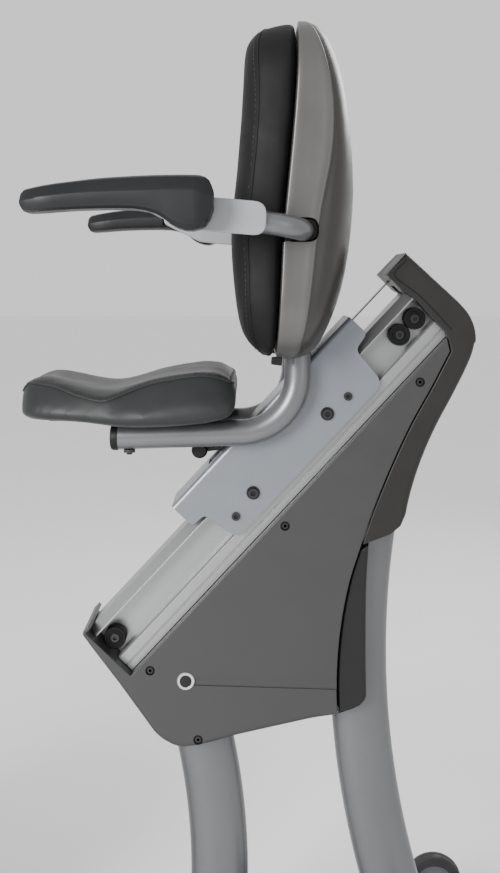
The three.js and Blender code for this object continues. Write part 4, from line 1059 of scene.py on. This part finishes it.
def build_armrests():
    half = [(286, -237, 1197), (326, -236, 1192), (352, -225, 1188), (368, -200, 1185.5), (372, -160, 1185),
            (372, -80, 1185)]
    whole = half + [(x, -y, z) for x, y, z in reversed(half)]
    bar = tube("armrest_bar", spline(whole, 8), 15, start=(0, 0, 1), sides=40)
    piece(bar, "carriage", "frame_paint", frame_paint, "arm_bar")
    outline = rounded([(150, 1216, 8), (150, 1234, 8), (243, 1225, 6), (322, 1218, 16), (321, 1174, 18),
                       (243, 1181, 6), (214, 1184, 6)])
    paddle = prism("arm_paddle", outline, -257, -249, rim=1.6, segments=3)
    both(paddle, "arm_paddle", "carriage", "frame_paint", paddle_paint)
    stations = [16, 17.5, 20, 24, 32, 44, 60, 80, 100, 120, 140, 158, 172, 184, 194, 203, 212, 221, 230,
                238, 245, 250, 253, 255]
    pad = loft("arm_pad_foam", [arm_ring(x) for x in stations], angle=24)
    room = prism("room", [(148, 1214), (148, 1236), (243, 1226), (330, 1219), (330, 1173), (243, 1179.5),
                          (212, 1182)], -258, -248)
    carve(pad, room, angle=24)
    for made in both(pad, "arm_pad_foam", "carriage", "black_rubber", pad_foam, "arm_pad_{}"):
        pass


# ---------------------------------------------------------------- drive
CRANK_X, CRANK_Z = -315, 390


def build_drive():
    refined("drive_frame", "frame", "frame_paint", leg_paint, bevel=1.0)
    refined("drive_pulley", "crank", "side_plastic", rubber, bevel=0.6)
    refined("drive_belt", "frame", "black_rubber", rubber, bevel=0.4)
    refined("idler_pulley", "idler", "side_plastic", rubber, bevel=0.6)
    refined("flywheel", "flywheel", "flywheel_iron", iron, bevel=0.8)
    refined("magnet_brake", "frame", "steel", zinc, bevel=0.8)
    axle = lathe("crank_axle_shaft", [(0, -84), (8.6, -84), (9.7, -83), (9.7, 83), (8.6, 84), (0, 84)],
                 (CRANK_X, 0, CRANK_Z))
    piece(axle, "crank", "steel", zinc, "crank_axle")
    profile = [(0, -86.5), (9, -86.5), (12.5, -85), (13, -81.2), (0, -81.2)]
    cap = lathe("crank_cap", profile, (CRANK_X, 0, CRANK_Z))
    both(cap, "crank_cap", "crank", "side_plastic", rubber)
    for side, sign in SIDES.items():
        refined(f"crank_arm_{side}", "crank", "steel", zinc, bevel=2.2, segments=4, angle=45)
        build_pedal(side, sign)


def build_pedal(side, sign):
    refined(f"pedal_{side}", f"pedal_{side[0]}", "black_rubber", rubber, bevel=1.4, segments=3)
    z = CRANK_Z - sign * 170
    over_foot = [(-38, 96, -6), (-40, 94, 22), (-36, 104, 48), (-32, 132, 62), (-30, 158, 60),
                 (-34, 182, 40), (-38, 190, 16), (-38, 188, -6)]
    path = [(CRANK_X + x, sign * y, z + up) for x, y, up in over_foot]
    strap = tube(f"pedal_strap_{side}", spline(path, 8), 1.5, 13, start=(0, 0.7, 0.7), sides=16)
    edge_on(strap, path)
    piece(strap, f"pedal_{side[0]}", "black_rubber", rubber)


def edge_on(obj, path):
    """Keeps a strap's thin side up: its width runs along X everywhere."""
    line = spline(path, 8)
    count = len(obj.data.vertices) // len(line)
    for i, point in enumerate(line):
        ahead = (line[min(i + 1, len(line) - 1)] - line[max(i - 1, 0)]).normalized()
        width = Vector((1, 0, 0)) - ahead * ahead.x
        width.normalize()
        thick = ahead.cross(width)
        for k in range(count):
            a = 2 * math.pi * k / count
            offset = width * 12 * math.cos(a) + thick * 1.5 * math.sin(a)
            obj.data.vertices[i * count + k].co = (point + offset) * MM
    edit(obj.data, lambda b: bmesh.ops.recalc_face_normals(b, faces=b.faces))
    shade(obj, 60)


HOUSING = [(-126, 392), (-140, 470), (-196, 548), (-290, 596), (-400, 622), (-505, 616), (-588, 562),
           (-634, 462), (-642, 340), (-618, 222), (-560, 146), (-470, 114), (-340, 114), (-232, 160),
           (-156, 262)]


def closed_line(points, per=8):
    wrapped = [points[-1], *points, points[0], points[1]]
    line = spline([(x, z, 0) for x, z in wrapped], per)
    return [(p.x, p.y) for p in line[per : per + per * len(points)]]


def build_housing():
    line = closed_line(HOUSING)
    body = prism("drive_housing", line, -62, -0.3, rim=11, rims=(True, False), segments=7)
    middle = (-390, 368)
    inside = [(x + (middle[0] - x) * 0.014, z + (middle[1] - z) * 0.014) for x, z in line]
    hollow = prism("hollow", inside, -57, 9)
    crank_hole = tube("hole", [(CRANK_X, -90, CRANK_Z), (CRANK_X, 9, CRANK_Z)], 24, start=(1, 0, 0))
    mast_hole = prism("hole", [(-499, 560), (-399, 560), (-399, 680), (-499, 680)], -24, 9)
    foot_hole = prism("hole", [(-596, 90), (-232, 90), (-232, 190), (-596, 190)], -34, 9)
    ring = [(84, -70), (90, -70), (90, -60.8), (84, -60.8), (84, -70)]
    groove = lathe("groove", ring, (CRANK_X, 0, CRANK_Z), sides=72)
    carve(body, hollow, crank_hole, mast_hole, foot_hole, groove)
    both(body, "housing_half", "frame", "side_plastic", side_plastic, "drive_housing_{}")
    blade = [(-600, 300, 10), (-600, 330, 14), (-470, 520, 20), (-430, 528, 8), (-560, 318, 10)]
    accent = prism("accent", rounded(blade), -63.2, -61, rim=1.0, rims=(True, False))
    both(accent, "housing_accent", "frame", "trim_plastic", trim_paint)
    collar = lathe("collar", [(24, -60.5), (24, -63.5), (33, -64.5), (37, -62), (37, -60.5), (24, -60.5)],
                   (CRANK_X, 0, CRANK_Z))
    both(collar, "crank_collar", "frame", "dark_plastic", top_plastic)


# ---------------------------------------------------------------- mast, console and handlebar
MAST_LOW, MAST_HIGH = (-455, 0, 480.4), (-419, 0, 1236)


def build_mast():
    mast = tube("mast_tube", [MAST_LOW, MAST_HIGH], 21, 31, sides=48)
    piece(mast, "frame", "frame_paint", frame_paint, "mast")
    x = -455 + 36 * (1107 - 480) / 756 + 31 + 16
    half = [(-236, -232, 1142), (-288, -236, 1130), (-344, -226, 1118), (-374, -190, 1112), (x, -120, 1107),
            (x, -50, 1107)]
    whole = half + [(a, -y, z) for a, y, z in reversed(half)]
    path = spline(whole, 8)
    bar = tube("handlebar_tube", path, 15.5, start=(0, 0, 1), sides=36)
    piece(bar, "frame", "frame_paint", frame_paint, "handlebar")
    grip = tube("grip", path[:17], 17.5, start=(0, 0, 1), sides=36)
    both(grip, "handlebar_grip", "frame", "black_rubber", rubber)
    outline = rounded([(-428, 1084, 6), (x + 10, 1086, 14), (x + 12, 1128, 14), (-426, 1130, 6)])
    clamp = prism("handlebar_clamp", outline, -24, 24, rim=4)
    piece(clamp, "frame", "console_plastic", top_plastic)
    build_console()


def build_console():
    w, h, t = 143, 88, 23
    tilt = Matrix.Translation((-0.402, 0, 1.262)) @ Matrix.Rotation(-math.radians(24), 4, "Y")
    outline = rounded([(-w, -h, 24), (w, -h, 24), (w, h, 24), (-w, h, 24)], 8)
    rings = []
    shares = ((t - 1, 0.97), (t - 3, 0.99), (t - 7, 1.0), (0, 1.0), (-t * 0.4, 0.97), (-t * 0.8, 0.8),
              (-t, 0.55))
    for x, k in shares:
        rings.append([(x, y * k, z * k) for y, z in outline])
    body = loft("console_body", rings, tilt, 40)
    piece(body, "frame", "console_plastic", top_plastic, "console")
    screen = rounded([(-102, -34, 6), (102, -34, 6), (102, 72, 6), (-102, 72, 6)])
    glass = loft("console_screen", [[(x, y * k, (z - 19) * k + 19) for y, z in screen]
                                    for x, k in ((t - 2, 1.0), (t - 0.2, 1.0), (t + 0.2, 0.99))], tilt)
    piece(glass, "frame", "console_plastic", screen_glass)
    profile = [(0, t + 1.4), (7, t + 1.4), (8.6, t + 0.4), (8.8, t - 2), (0, t - 2)]
    for i in range(5):
        place = (0, (i - 2) * 42, -60)
        button = lathe(f"console_button_{i}", profile, place, axis="X", sides=28, matrix=tilt)
        piece(button, "frame", "trim_plastic", trim_paint)


set_camera()
set_studio()
build_rail()
build_carriage()
build_release()
build_side_covers()
build_rear_strip()
build_top_cover()
build_legs()
build_base()
build_seat_frame()
build_seat_cushion()
build_back_cushion()
build_back_shell()
build_armrests()
build_drive()
build_housing()
build_mast()
